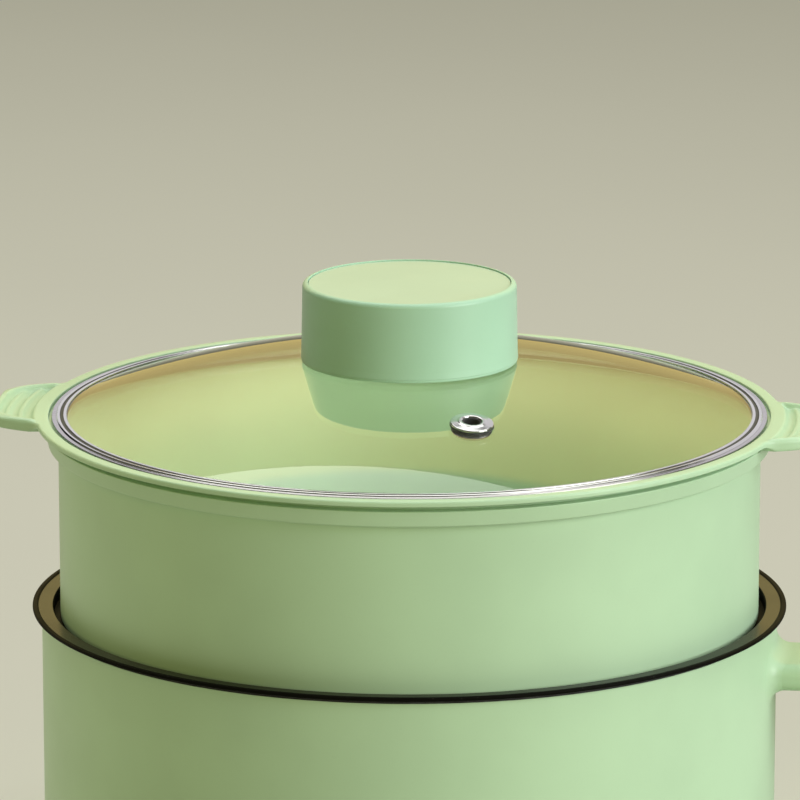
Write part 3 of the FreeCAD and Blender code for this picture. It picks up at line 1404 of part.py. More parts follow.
def ring_piece(label, radius, bore, thickness, low):
    """A flat washer on the lid's axis."""
    disc = cylinder(f"{label}_disc", radius, thickness, z=low)
    hole = cylinder(f"{label}_hole", bore, thickness, z=low)
    keep(less(label, disc, hole), label)


def washers():
    """Soft washers above and below the glass and a metal one under the bolt's head."""
    sag = "(dome_radius - glass_thickness - sqrt((dome_radius - glass_thickness)^2 - cup_washer^2))"
    low = f"({GLASS_UNDER} - {sag} - washer_thickness)"
    ring_piece("knob_gasket", "washer_radius", "knob_bolt + fit_gap", "washer_thickness", CROWN)
    ring_piece("lid_gasket", "cup_washer", "knob_bolt + fit_gap", "washer_thickness", low)
    ring_piece("bolt_washer", "cup_washer - 1", "knob_bolt + fit_gap", "clamp_sheet", f"{low} - clamp_sheet")
    seat = f"({low} - clamp_sheet)"
    head = cylinder("bolt_head_disc", "bolt_head", "bolt_head_height", z=f"{seat} - bolt_head_height")
    slot = box("bolt_slot", "2 * bolt_head", "1", "bolt_head_height / 2", "-bolt_head", "-0.5",
               f"{seat} - bolt_head_height")
    shank = cylinder("bolt_shank", "knob_bolt", f"{KNOB_FLOOR} + insert_length - 1 - {seat}", z=seat)
    keep(joined("knob_bolt", less("bolt_top", head, slot), shank), "knob_bolt")


# ---------------------------------------------------------------- build and export

def build():
    for make in (inner_pot, rim_seal, outer_housing, base_cover, rubber_feet, base_screws,
                 heating_plate, heating_element, element_terminals, thermostat, thermostat_bracket,
                 bracket_screws, thermal_fuse, heat_shield, shield_studs, shield_nuts,
                 power_inlet, inlet_pins, wiring_leads,
                 handle_upper_shell, handle_lower_shell, handle_screws, handle_bracket,
                 rotary_switch, switch_nut, dial_bezel, dial_knob, dial_shaft,
                 indicator_lens, indicator_lamp,
                 steamer_basket,
                 lid_glass, lid_rim_band, vent_eyelet, vent_seals,
                 knob_shell, knob_cap, knob_insert, washers):
        make()
    doc.recompute()


def check():
    """Stop if anything in the document failed or any sub-part isn't a sound solid."""
    for thing in doc.Objects:
        if "Invalid" in thing.State or "Error" in thing.State:
            raise RuntimeError(f"{thing.Label} failed: {thing.State}")
    for piece in pieces:
        if piece.Shape.isNull() or not piece.Shape.isValid() or not piece.Shape.Solids:
            raise RuntimeError(f"{piece.Label} isn't a sound solid")


def export():
    os.makedirs("parts", exist_ok=True)
    for piece in pieces:
        piece.Shape.exportStep(f"parts/{piece.Label}.step")
        print(piece.Label, len(piece.Shape.Solids), round(piece.Shape.Volume))


build()
check()
export()
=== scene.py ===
"""Electric hot pot with a stacking steamer basket and a clear domed lid, dressed on its solid model."""
import json
import math
from types import SimpleNamespace

import bmesh
import bpy
from bpy.props import FloatProperty, FloatVectorProperty, IntProperty, PointerProperty
from mathutils import Matrix, Vector

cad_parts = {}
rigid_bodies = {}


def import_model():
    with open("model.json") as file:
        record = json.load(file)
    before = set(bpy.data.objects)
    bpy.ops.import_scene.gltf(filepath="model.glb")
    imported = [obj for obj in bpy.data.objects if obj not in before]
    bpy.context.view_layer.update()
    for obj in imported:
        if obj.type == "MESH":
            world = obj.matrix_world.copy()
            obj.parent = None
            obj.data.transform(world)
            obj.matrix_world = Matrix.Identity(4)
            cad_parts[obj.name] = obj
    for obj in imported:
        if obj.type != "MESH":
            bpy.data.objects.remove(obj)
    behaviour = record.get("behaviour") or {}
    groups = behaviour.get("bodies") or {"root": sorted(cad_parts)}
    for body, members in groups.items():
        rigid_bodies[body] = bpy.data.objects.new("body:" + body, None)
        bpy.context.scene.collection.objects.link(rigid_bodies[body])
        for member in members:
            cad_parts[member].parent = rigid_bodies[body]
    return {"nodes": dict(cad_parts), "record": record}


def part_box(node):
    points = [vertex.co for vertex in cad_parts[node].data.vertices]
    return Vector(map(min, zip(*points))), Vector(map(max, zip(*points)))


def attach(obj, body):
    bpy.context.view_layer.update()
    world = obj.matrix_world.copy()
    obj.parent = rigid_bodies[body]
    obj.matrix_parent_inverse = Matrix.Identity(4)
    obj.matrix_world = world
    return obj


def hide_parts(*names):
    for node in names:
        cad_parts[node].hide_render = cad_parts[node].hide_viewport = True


bl_info = {
    "name": "Electric hot pot",
    "version": (1, 0, 0),
    "blender": (4, 5, 0),
    "location": "3D View > Sidebar > Hot Pot",
    "description": "Dresses the solids of a stacking electric hot pot and lights them in a studio",
    "category": "Object",
}

for leftover in list(bpy.data.objects):
    bpy.data.objects.remove(leftover)
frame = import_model()
NODES = frame["nodes"]
MM = 0.001


# ---------------------------------------------------------------- properties

def length(name, description, default):
    return FloatProperty(name=name, description=description, default=default, unit="LENGTH", precision=5)


def colour(name, description, default):
    return FloatVectorProperty(name=name, description=description, default=default, size=3,
                               subtype="COLOR", min=0, max=1)


def power(name, description, default):
    return FloatProperty(name=name, description=description, default=default, unit="POWER")


class HotPotSizes(bpy.types.PropertyGroup):
    mouth: length("Mouth", "Height of the basket's rim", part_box("steamer_basket")[1].z)
    basket_under: length("Basket underside", "Height of the basket's underside",
                         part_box("steamer_basket")[0].z)
    basket_wall: length("Basket wall", "Outside of the basket's wall", 127.6 * MM)
    basket_inside: length("Basket inside", "Inside of the basket's wall", 124.8 * MM)
    foot: length("Basket foot", "Outside of the basket's foot", 122.8 * MM)
    foot_inside: length("Foot inside", "Inside of the basket's foot", 120.4 * MM)
    foot_height: length("Foot height", "From the basket's underside to the step above its foot", 11.5 * MM)
    floor: length("Basket floor", "Thickness of the basket's floor", 2.4 * MM)
    floor_edge: length("Floor edge", "Where the pierced floor meets the foot", 112.0 * MM)
    flare: length("Flare", "Outside of the flare below the lip", 132.7 * MM)
    shadow_groove: length("Shadow groove", "Bottom of the groove between flare and lip", 129.9 * MM)
    seat: length("Lid seat", "Outside of the step that the lid's band rests in", 131.4 * MM)
    seat_depth: length("Seat depth", "Depth of the step that the lid's band rests in", 1.9 * MM)
    lip: length("Lip radius", "Outside of the basket's lip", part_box("steamer_basket")[1].y)
    lip_thickness: length("Lip thickness", "Thickness of the basket's lip", 1.95 * MM)
    ear_reach: length("Ear reach", "End of an ear from the pot's axis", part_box("steamer_basket")[1].x)
    ear_root: length("Ear root", "Half the width of an ear where it leaves the lip", 31.0 * MM)
    ear_tip: length("Ear tip", "Half the width of an ear at its end", 24.0 * MM)
    ear_thickness: length("Ear thickness", "Thickness of an ear", 4.0 * MM)
    ear_border: length("Ear border", "Width of the raised border of an ear", 2.6 * MM)
    flute_start: length("First flute", "Middle of the first flute of an ear past the lip", 3.1 * MM)
    flute_pitch: length("Flute pitch", "Distance between an ear's flutes", 5.0 * MM)
    hole: length("Steam hole", "Radius of a hole in the basket's floor", 4.0 * MM)
    hole_pitch: length("Hole pitch", "Distance between the rings of holes", 22.0 * MM)
    pot_rim: length("Pot rim", "Outside of the pot's rolled rim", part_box("inner_pot")[1].y)
    pot_top: length("Pot top", "Height of the pot's rolled rim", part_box("inner_pot")[1].z)
    pot_sheet: length("Pot sheet", "Thickness of the pot's sheet", 1.3 * MM)
    pot_ledge: length("Pot ledge", "Depth of the ledge inside the pot's rim", 4.8 * MM)
    glass_edge: length("Glass radius", "Edge of the glass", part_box("lid_glass")[1].x)
    crown: length("Crown", "Height of the top of the glass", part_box("lid_glass")[1].z)
    glass: length("Glass thickness", "Thickness of the lid's glass", 3.8 * MM)
    glass_sag: length("Glass sag", "Edge of the glass below its crown", 21.83 * MM)
    band: length("Band radius", "Outside of the lid's metal band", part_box("lid_rim_band")[1].x)


class HotPotFinishes(bpy.types.PropertyGroup):
    body: colour("Body plastic", "Pale green moulding", (0.455, 0.640, 0.425))
    knob: colour("Knob plastic", "Slightly deeper green of the knob's drum", (0.400, 0.630, 0.455))
    cap: colour("Cap plastic", "Lighter green of the dial and the knob's top", (0.460, 0.618, 0.452))
    coating: colour("Pot coating", "Non-stick coating", (0.012, 0.011, 0.008))
    steel: colour("Steel", "Bright steel", (0.66, 0.65, 0.63))
    grain: FloatProperty(name="Grain depth", description="Depth of the plastic's fine grain",
                         default=0.000012, unit="LENGTH", precision=6)
    seed: IntProperty(name="Seed", description="Shift of every pattern", default=7, min=0)


class HotPotStudio(bpy.types.PropertyGroup):
    azimuth: FloatProperty(name="Azimuth", description="Camera round the pot", default=math.radians(6.5),
                           subtype="ANGLE")
    elevation: FloatProperty(name="Elevation", description="Camera above the horizon",
                             default=math.radians(13.3), subtype="ANGLE")
    distance: length("Distance", "Camera from what it looks at", 3.277)
    lens: FloatProperty(name="Lens", description="Focal length", default=405.0, unit="CAMERA")
    picture: IntProperty(name="Picture", description="Width of the picture", default=800, min=1,
                         subtype="PIXEL")
    rightward: FloatProperty(name="Rightward", default=9.5, subtype="PIXEL",
                             description="From the picture's middle right to the middle of the mouth")
    downward: FloatProperty(name="Downward", default=12.2, subtype="PIXEL",
                            description="From the picture's middle down to the middle of the mouth")
    key: power("Key light", "Power of the large light on the right", 45.0)
    fill: power("Fill light", "Power of the warm light on the left", 8.0)
    front: power("Front light", "Power of the weak light beside the camera", 11.0)
    over: power("Overhead light", "Power of the light over the pot", 50.0)
    panel: power("White panel", "Power of the panel that the lid's metal reflects", 120.0)
    cloth: FloatProperty(name="Lit cloth", description="Brightness of the lit cloth behind the pot",
                         default=2.0, min=0)
    air: colour("Air", "Light from all round", (0.95, 0.93, 0.62))
    air_strength: FloatProperty(name="Air strength", description="Strength of the light from all round",
                                default=0.12, min=0)
    floor: colour("Floor", "Plain pale floor", (0.86, 0.82, 0.69))


def in_mm(sizes):
    """The lengths of a group in millimetres, the unit of every outline below."""
    return SimpleNamespace(**{name: getattr(sizes, name) / MM for name in sizes.__annotations__})


# ---------------------------------------------------------------- shaders

def both_ways(operation):
    """The plain and the reflected form of an operator on readings."""
    def plain(self, other):
        return self.maths(operation, self, other)

    def reflected(self, other):
        return self.maths(operation, other, self)

    return plain, reflected


class Reading:
    """An output socket of a material, with arithmetic that adds Math nodes."""

    def __init__(self, material, socket):
        self.material = material
        self.socket = socket

    def maths(self, operation, first, second):
        return self.material.node("ShaderNodeMath", {"operation": operation}, {0: first, 1: second})

    __add__, __radd__ = both_ways("ADD")
    __sub__, __rsub__ = both_ways("SUBTRACT")
    __mul__, __rmul__ = both_ways("MULTIPLY")
    __truediv__, __rtruediv__ = both_ways("DIVIDE")
    __pow__, __rpow__ = both_ways("POWER")

    def between(self, low, high, start=0.0, end=1.0):
        """A smooth ramp from start to end as the value goes from low to high."""
        return self.material.node("ShaderNodeMapRange", {"interpolation_type": "SMOOTHSTEP"},
                                  {"Value": self, "From Min": low, "From Max": high,
                                   "To Min": start, "To Max": end})


class Material:
    """A node material under construction, with one Principled shader as its surface."""

    def __init__(self, name, **constants):
        self.data = bpy.data.materials.new(name)
        self.data.use_nodes = True
        self.tree = self.data.node_tree
        self.tree.nodes.clear()
        self.output = self.tree.nodes.new("ShaderNodeOutputMaterial")
        self.surface = self.tree.nodes.new("ShaderNodeBsdfPrincipled")
        self.tree.links.new(self.surface.outputs[0], self.output.inputs["Surface"])
        self.set(**constants)

    def node(self, kind, settings=None, sockets=None, out=0):
        """Add a node: its settings first, then the values or links of its sockets."""
        node = self.tree.nodes.new(kind)
        for name, setting in (settings or {}).items():
            setattr(node, name, setting)
        for key, content in (sockets or {}).items():
            self.feed(node.inputs[key], content)
        return Reading(self, node.outputs[out])

    def feed(self, socket, content):
        """Link a reading to a socket, or set the socket to a number, a vector or a colour."""
        if isinstance(content, Reading):
            self.tree.links.new(content.socket, socket)
        elif hasattr(socket.default_value, "__len__") and len(content) < len(socket.default_value):
            socket.default_value = (*content, 1)
        else:
            socket.default_value = content

    def set(self, **sockets):
        """Feed the Principled shader's own sockets, named with low lines for spaces."""
        for name, content in sockets.items():
            self.feed(self.surface.inputs[name.replace("_", " ")], content)

    def place(self):
        """The point on the piece in metres, in its own coordinates."""
        return self.node("ShaderNodeTexCoord", out="Object")

    def axes(self):
        """The three coordinates of the point on the piece."""
        apart = self.node("ShaderNodeSeparateXYZ", {}, {0: self.place()})
        return [Reading(self, socket) for socket in apart.socket.node.outputs]

    def noise(self, size, detail=2.0, stretch=(1, 1, 1), shift=0.0):
        """Noise whose features are about size metres across."""
        seed = bpy.context.scene.hotpot_finishes.seed + shift
        scaled = self.node("ShaderNodeVectorMath", {"operation": "MULTIPLY_ADD"},
                           {0: self.place(), 1: stretch, 2: (seed, seed * 0.37, seed * 0.71)}, "Vector")
        return self.node("ShaderNodeTexNoise", {},
                         {"Vector": scaled, "Scale": 1 / size, "Detail": detail}, "Fac")

    def mix(self, factor, first, second):
        """A colour between two colours."""
        return self.node("ShaderNodeMix", {"data_type": "RGBA"}, {0: factor, 6: first, 7: second}, 2)

    def bump(self, height, distance, strength, under=None):
        """A normal that follows a height, laid over another bump where one is given."""
        sockets = {"Height": height, "Distance": distance, "Strength": strength}
        if under:
            sockets["Normal"] = under
        return self.node("ShaderNodeBump", {}, sockets, "Normal")


def shaded(tone, factor):
    """A tone made darker or lighter."""
    return tuple(channel * factor for channel in tone)


def moulded_plastic(name, tone, grain, gloss=0.43):
    """Satin moulded plastic: fine spark-eroded grain, faint flow clouds, handled patches."""
    stuff = Material(name, Coat_Weight=0.06, Coat_Roughness=0.28, IOR=1.49, Specular_IOR_Level=0.42)
    clouds = stuff.noise(0.055, detail=3.0)
    specks = stuff.noise(0.0007, detail=1.0, shift=3.0).between(0.58, 0.78)
    handled = stuff.noise(0.018, detail=4.0, shift=9.0).between(0.45, 0.75)
    toned = stuff.mix(clouds.between(0.3, 0.7), shaded(tone, 0.965), shaded(tone, 1.03))
    fine = stuff.noise(0.00045, shift=5.0)
    wavy = stuff.noise(0.009, detail=1.0, shift=6.0)
    stuff.set(Base_Color=stuff.mix(specks * 0.10, toned, shaded(tone, 0.80)),
              Roughness=gloss - handled * 0.05 + specks * 0.05,
              Normal=stuff.bump(fine, grain, 0.8, stuff.bump(wavy, 0.00003, 0.5)))
    return stuff.data


def nonstick_coating(name, tone, gloss=0.20, shine=0.5):
    """Sprayed non-stick: near black with pale flecks, satin, over a spun sheet."""
    stuff = Material(name, IOR=1.2, Specular_IOR_Level=shine)
    spots = stuff.node("ShaderNodeTexVoronoi", {"feature": "F1"},
                       {"Vector": stuff.place(), "Scale": 420.0}, "Distance")
    flecks = 1 - spots.between(0.02, 0.16)
    sparse = stuff.noise(0.004, detail=1.0, shift=2.0).between(0.5, 0.62)
    spun = stuff.noise(0.0009, detail=1.0, stretch=(0.03, 0.03, 1.0), shift=4.0)
    grain = stuff.noise(0.0006)
    worn = stuff.noise(0.03, detail=3.0, shift=8.0).between(0.4, 0.7)
    stuff.set(Base_Color=stuff.mix(flecks * sparse * 0.4, tone, (0.12, 0.115, 0.10)),
              Roughness=gloss + worn * 0.08,
              Normal=stuff.bump(grain, 0.000015, 0.7, stuff.bump(spun, 0.00001, 0.4)))
    return stuff.data


def turned_steel(name, tone, roughness=0.13, lines=0.0004, wear=0.06):
    """Bright steel with faint turning lines round the axis and finger marks."""
    stuff = Material(name, Metallic=1.0)
    x, y, height = stuff.axes()
    radius = (x * x + y * y) ** 0.5
    rings = stuff.node("ShaderNodeTexNoise", {"noise_dimensions": "1D"},
                       {"W": (radius + height * 1.7) / lines, "Scale": 1.0, "Detail": 2.0}, "Fac")
    marks = stuff.noise(0.012, detail=4.0, shift=1.0).between(0.45, 0.7)
    grime = stuff.noise(0.0025, shift=6.0).between(0.5, 0.8)
    stuff.set(Base_Color=stuff.mix(rings * 0.25 + grime * 0.12, tone, shaded(tone, 0.72)),
              Roughness=roughness + marks * wear + rings * 0.04,
              Normal=stuff.bump(rings, 0.000006, 0.35))
    return stuff.data


def plated_metal(name, tone, roughness, blotch, grain=0.0012):
    """Plated, cast or oxidised metal: mottled tone, uneven gloss and a fine cast skin."""
    stuff = Material(name, Metallic=1.0)
    mottle = stuff.noise(0.008, detail=4.0)
    fine = stuff.noise(grain, detail=3.0, shift=2.0)
    stuff.set(Base_Color=stuff.mix(mottle.between(0.3, 0.7) * blotch, tone, shaded(tone, 0.6)),
              Roughness=roughness + fine * 0.15, Normal=stuff.bump(fine, 0.00004, 0.5))
    return stuff.data


def soft_rubber(name, tone, roughness=0.72):
    """Matte moulded rubber or silicone with a dusty bloom."""
    stuff = Material(name, Specular_IOR_Level=0.35, Sheen_Weight=0.12, Sheen_Roughness=0.5)
    bloom = stuff.noise(0.006, detail=4.0).between(0.35, 0.8)
    fine = stuff.noise(0.0006, shift=4.0)
    lighter = tuple(0.85 * channel + 0.045 for channel in tone)
    stuff.set(Base_Color=stuff.mix(bloom, tone, lighter), Roughness=roughness + bloom * 0.12,
              Normal=stuff.bump(fine, 0.00003, 0.6))
    return stuff.data


def clear_glass(name, tint, smear=0.02):
    """Clear pressed glass that lets lamps through, with faint smears and a slow pressed wave."""
    stuff = Material(name, Transmission_Weight=1.0, IOR=1.5)
    smears = stuff.noise(0.02, detail=4.0, stretch=(1.0, 0.35, 1.0)).between(0.55, 0.85)
    wave = stuff.noise(0.05, detail=0.0, shift=3.0)
    stuff.set(Base_Color=stuff.mix(smears * 0.3, tint, shaded(tint, 0.985)), Roughness=smears * smear,
              Normal=stuff.bump(wave, 0.00006, 0.25))
    solid = Reading(stuff, stuff.surface.outputs[0])
    clear = stuff.node("ShaderNodeBsdfTransparent", {}, {"Color": tint})
    shadow = stuff.node("ShaderNodeLightPath", out="Is Shadow Ray")
    seen = stuff.node("ShaderNodeMixShader", {}, {0: shadow, 1: solid, 2: clear})
    stuff.feed(stuff.output.inputs["Surface"], seen)
    return stuff.data


def painted_floor(name, tone):
    """Matte paint, very slightly uneven."""
    stuff = Material(name)
    mottle = stuff.noise(0.35, detail=3.0)
    stuff.set(Base_Color=stuff.mix(mottle, shaded(tone, 0.985), shaded(tone, 1.01)),
              Roughness=0.62 + mottle * 0.06)
    return stuff.data


def glowing_cloth(name, low, high, top, strength):
    """Lit studio cloth: dim near the floor, brighter above and towards the left, with faint folds."""
    stuff = Material(name, Base_Color=(0, 0, 0), Specular_IOR_Level=0.0, Roughness=1.0,
                     Emission_Strength=strength)
    across, _, up = stuff.axes()
    folds = stuff.noise(0.5, detail=1.0, stretch=(1.0, 1.0, 0.05)).between(0.3, 0.7, 0.92, 1.0)
    rising = up.between(0.6, 3.0) * across.between(-0.6, 3.6, 1.0, 0.50) * folds
    stuff.set(Emission_Color=stuff.mix(up.between(5.2, 5.7), stuff.mix(rising, low, high), top))
    return stuff.data


_made = {}


def finish(slot):
    """The material of one of the record's slots, or of a finish of the scene's own, made on first use."""
    if slot in _made:
        return _made[slot]
    tones = bpy.context.scene.hotpot_finishes
    glossier = (tones.grain, 0.38)
    makers = {
        "green_plastic": (moulded_plastic, "green_plastic_skin", tuple(tones.body), tones.grain),
        "knob_green": (moulded_plastic, "knob_green_skin", tuple(tones.knob), *glossier),
        "pale_green_cap": (moulded_plastic, "pale_green_skin", tuple(tones.cap), *glossier),
        "black_plastic": (moulded_plastic, "black_plastic_skin", (0.022, 0.022, 0.023), 0.00002, 0.5),
        "mark_paint": (moulded_plastic, "mark_paint_white", (0.72, 0.73, 0.68), 0.00001, 0.5),
        "nonstick": (nonstick_coating, "nonstick_skin", tuple(tones.coating)),
        # A darker, less glossy copy of the coating for the pot's bead and the recess inside its step: painted
        # shade, so that these read black.
        "nonstick_dull": (nonstick_coating, "nonstick_dull_skin", shaded(tones.coating, 0.4), 0.5, 0.12),
        "rubber": (soft_rubber, "foot_rubber", (0.025, 0.025, 0.026)),
        "silicone": (soft_rubber, "white_silicone", (0.62, 0.64, 0.60), 0.5),
        "wire_cover": (soft_rubber, "wire_insulation", (0.52, 0.045, 0.025), 0.45),
        "clear_glass": (clear_glass, "lid_glass_clear", (0.98, 0.972, 0.925)),
        "lamp_lens": (clear_glass, "amber_lens", (0.95, 0.42, 0.10), 0.15),
        "lamp_glass": (clear_glass, "lamp_bulb_glass", (0.98, 0.9, 0.8)),
        "stainless": (turned_steel, "turned_stainless", tuple(tones.steel)),
        # A rougher, darker copy of the steel for the band's outer fold: the rougher gloss stands for a
        # brushed finish, the darker tone is painted shade along the gap by the basket's lip.
        "brushed_fold": (turned_steel, "brushed_fold_steel", (0.48, 0.46, 0.45), 0.20),
        "cast_aluminium": (plated_metal, "cast_aluminium_skin", (0.60, 0.60, 0.60), 0.42, 0.5, 0.002),
        "element_steel": (plated_metal, "oxidised_tube", (0.10, 0.11, 0.10), 0.45, 0.8),
        "zinc_steel": (plated_metal, "zinc_plate", (0.55, 0.57, 0.58), 0.26, 0.35),
        "brass": (plated_metal, "plain_brass", (0.72, 0.50, 0.22), 0.24, 0.3),
    }
    maker, *how = makers[slot]
    _made[slot] = maker(*how)
    return _made[slot]


def dress(*names):
    """Give CAD nodes the finish of their own slots."""
    slots = {part["node"]: part["material_slot"] for part in frame["record"]["subparts"]}
    for name in names:
        mesh = NODES[name].data
        mesh.materials.clear()
        mesh.materials.append(finish(slots[name]))


# ---------------------------------------------------------------- meshes

def arc(before, place, after, radius, steps):
    """Points along the round between two straight stretches that meet at a place."""
    first_way = (before - place).normalized()
    last_way = (after - place).normalized()
    half = first_way.angle(last_way) / 2
    trim = radius / math.tan(half)
    centre = place + (first_way + last_way).normalized() * radius / math.sin(half)
    first = place + first_way * trim - centre
    turn = first.angle_signed(place + last_way * trim - centre)
    return [centre + Matrix.Rotation(-turn * step / steps, 2) @ first for step in range(steps + 1)]


def rounded(corners, steps=5):
    """Points along an open outline of (across, up, radius) corners, with arcs at the corners."""
    places = [Vector(corner[:2]) for corner in corners]
    points = []
    for index, (place, corner) in enumerate(zip(places, corners)):
        if len(corner) > 2 and 0 < index < len(corners) - 1:
            points += arc(places[index - 1], place, places[index + 1], corner[2], steps)
        else:
            points.append(place)
    return points


def loft(name, rings, closed):
    """A mesh of quads through rings of points in millimetres; closed joins the last ring to the first."""
    count = len(rings[0])
    faces = []
    for ring in range(len(rings) if closed else len(rings) - 1):
        here = ring * count
        there = (ring + 1) % len(rings) * count
        for index in range(count):
            after = (index + 1) % count
            faces.append((here + index, here + after, there + after, there + index))
    mesh = bpy.data.meshes.new(name)
    mesh.from_pydata([[value * MM for value in point] for ring in rings for point in ring], [], faces)
    mesh.update()
    return mesh


def circle(count):
    """Angles of evenly spaced points round a circle."""
    return [2 * math.pi * step / count for step in range(count)]


def turned(name, outline, segments):
    """A closed outline in millimetres, turned about the pot's axis."""
    rings = [[(across * math.cos(angle), across * math.sin(angle), up) for angle in circle(segments)]
             for across, up in outline]
    return loft(name, rings, closed=True)


def tidy_normals(mesh, sharp=math.radians(38)):
    """Face outward, shade smooth and mark the sharp edges."""
    shape = bmesh.new()
    shape.from_mesh(mesh)
    bmesh.ops.recalc_face_normals(shape, faces=shape.faces)
    for face in shape.faces:
        face.smooth = True
    for edge in shape.edges:
        if len(edge.link_faces) == 2:
            edge.smooth = edge.calc_face_angle() < sharp
    shape.to_mesh(mesh)
    shape.free()


def piece(name, mesh, body, slot, *replaced):
    """Link a mesh as a piece that rides on a body and takes a slot's finish."""
    tidy_normals(mesh)
    thing = bpy.data.objects.new(name, mesh)
    bpy.context.scene.collection.objects.link(thing)
    mesh.materials.append(finish(slot))
    level = thing.modifiers.new("even_shading", "WEIGHTED_NORMAL")
    level.keep_sharp = True
    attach(thing, body)
    if replaced:
        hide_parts(*replaced)
    return thing


def repaint(mesh, slot, chosen):
    """Give another finish to the faces whose distance from the pot's axis, in millimetres, is chosen."""
    mesh.materials.append(finish(slot))
    for face in mesh.polygons:
        if chosen(face.center.xy.length / MM):
            face.material_index = 1


def soft_min(first, second, blend):
    """The lesser of two values, rounded off where they are within blend of each other."""
    near = max(blend - abs(first - second), 0) / blend
    return min(first, second) - near * near * blend / 4


def soft_step(low, high, value):
    """A smooth rise from 0 at low to 1 at high."""
    share = min(max((value - low) / (high - low), 0), 1)
    return share * share * (3 - 2 * share)


# ---------------------------------------------------------------- basket

LIP_CROWN = 0.12


class Ear:
    """The plan and the relief of the basket's two ears, in millimetres."""

    CORNER = 15.0
    INNER_CORNER = 14.0
    ROOT_FILLET = 5.0
    BORDER_RISE = 0.55
    FIELD_DROP = 0.80
    FLUTES = 3
    FLUTE_DEPTH = 1.1
    FLUTE_HALF = 1.9

    def __init__(self, size):
        self.size = size
        root = Vector((math.sqrt(size.lip ** 2 - size.ear_root ** 2) + 0.4, size.ear_root))
        along = (Vector((size.ear_reach, size.ear_tip)) - root).normalized()
        self.outward = Vector((-along.y, along.x))
        self.offset = self.outward.dot(root)

    def edge(self, x, y):
        """Distance inward from the ear's outline."""
        side = self.offset - self.outward.dot(Vector((abs(x), abs(y))))
        return soft_min(self.size.ear_reach - abs(x), side, self.INNER_CORNER)

    def reach(self, angle):
        """Radius of the basket's outline in a direction from the pot's axis."""
        x, y = abs(math.cos(angle)), abs(math.sin(angle))
        lip = self.size.lip
        if y > 0.3:
            return lip
        side = self.offset / self.outward.dot(Vector((x, y)))
        outline = soft_min(self.size.ear_reach / x, side, self.CORNER)
        if outline < lip - self.ROOT_FILLET:
            return lip
        return -soft_min(-outline, -lip, self.ROOT_FILLET)

    def flute(self, past_lip):
        """How deep in a flute a point is, from 0 beside it to 1 along its middle."""
        middles = [self.size.flute_start + self.size.flute_pitch * index for index in range(self.FLUTES)]
        return max(0, *(1 - ((past_lip - middle) / self.FLUTE_HALF) ** 2 for middle in middles))

    def relief(self, x, y):
        """Height of the ear's top above the rim: a raised border round a fluted field."""
        edge = self.edge(x, y)
        past_lip = math.hypot(x, y) - self.size.lip
        if past_lip < -1 or edge < 0:
            return 0.0
        border = self.size.ear_border
        inside = soft_step(0.8 * border, 1.4 * border, edge)
        crest = soft_step(0, 0.5 * border, edge) * (1 - inside) * soft_step(-1, 2, past_lip)
        field = inside * soft_step(0.4, 1.8, past_lip)
        flutes = self.flute(past_lip) * soft_step(0.9 * border, 2.0 * border, edge)
        return self.BORDER_RISE * crest - self.FIELD_DROP * field - self.FLUTE_DEPTH * flutes


def basket_outside(size, reach, share):
    """Outer profile of the basket where its lip reaches out so far, and is that much of an ear."""
    mouth, under = size.mouth, size.basket_under
    lower = mouth - size.lip_thickness - (size.ear_thickness - size.lip_thickness) * share
    crease = min(mouth - 4.1, lower - 0.5)
    return rounded([
        (size.floor_edge, under),
        (size.foot, under, 5),
        (size.foot, under + size.foot_height, 0.3),
        (size.basket_wall, under + size.foot_height, 1.2),
        (size.basket_wall + 0.3, mouth - 10.9, 0.4),
        (size.flare - 1.2, mouth - 10.1, 0.6),
        (size.flare, crease - 0.35, 0.35),
        (size.shadow_groove, crease, 0.1),
        (size.shadow_groove, lower - 0.1, 0.1),
        (reach, lower, 0.25 + 0.95 * share),
        (reach, mouth, 0.95 + 0.4 * share),
        (reach - 2.6, mouth + LIP_CROWN)])


def basket_inside(size):
    """Inner profile of the basket, from the lid's seat down the wall and the foot to the floor."""
    mouth, under = size.mouth, size.basket_under
    return rounded([
        (size.seat + 1.2, mouth + LIP_CROWN),
        (size.seat, mouth, 0.45),
        (size.seat, mouth - size.seat_depth, 0.2),
        (size.seat - 2.4, mouth - size.seat_depth, 0.5),
        (size.basket_inside + 0.3, mouth - 8.7, 1.5),
        (size.basket_inside, under + size.foot_height + 4.9, 1.0),
        (size.foot_inside, under + size.foot_height + size.floor, 1.0),
        (size.foot_inside, under + size.floor, 2.6),
        (size.floor_edge, under + size.floor)])


def basket_angles():
    """Directions round the axis: close together across the ears and a degree apart between them."""
    half_ear, close = 16, 0.25
    across = [close * step - half_ear for step in range(round(2 * half_ear / close))]
    between = range(half_ear, 180 - half_ear)
    return [math.radians(side + angle) for side in (0, 180) for angle in (*across, *between)]


def basket_wall(size, crossings=48):
    """The basket's wall, lip, ears and foot, lofted round the pot's axis."""
    ear = Ear(size)
    inside = basket_inside(size)
    columns = []
    for angle in basket_angles():
        reach = ear.reach(angle)
        outside = basket_outside(size, reach, soft_step(0, 4, reach - size.lip))
        top = [outside[-1].lerp(inside[0], step / crossings) for step in range(1, crossings)]
        column = []
        for across, up in (*outside, *top, *inside):
            x, y = across * math.cos(angle), across * math.sin(angle)
            raised = ear.relief(x, y) if up > size.mouth - 0.3 else 0.0
            column.append((x, y, up + raised))
        columns.append(column)
    return loft("steamer_basket_body", list(zip(*columns)), closed=False)


def floor_plan(size, rings=4):
    """Circles of the pierced floor as (x, y, radius, corners): its edge, then rings of steam holes."""
    circles = [(0, 0, size.floor_edge, 180), (0, 0, size.hole, 32)]
    for ring in range(1, rings + 1):
        reach = size.hole_pitch * ring
        circles += [(reach * math.cos(angle), reach * math.sin(angle), size.hole, 32)
                    for angle in circle(6 * ring)]
    return circles


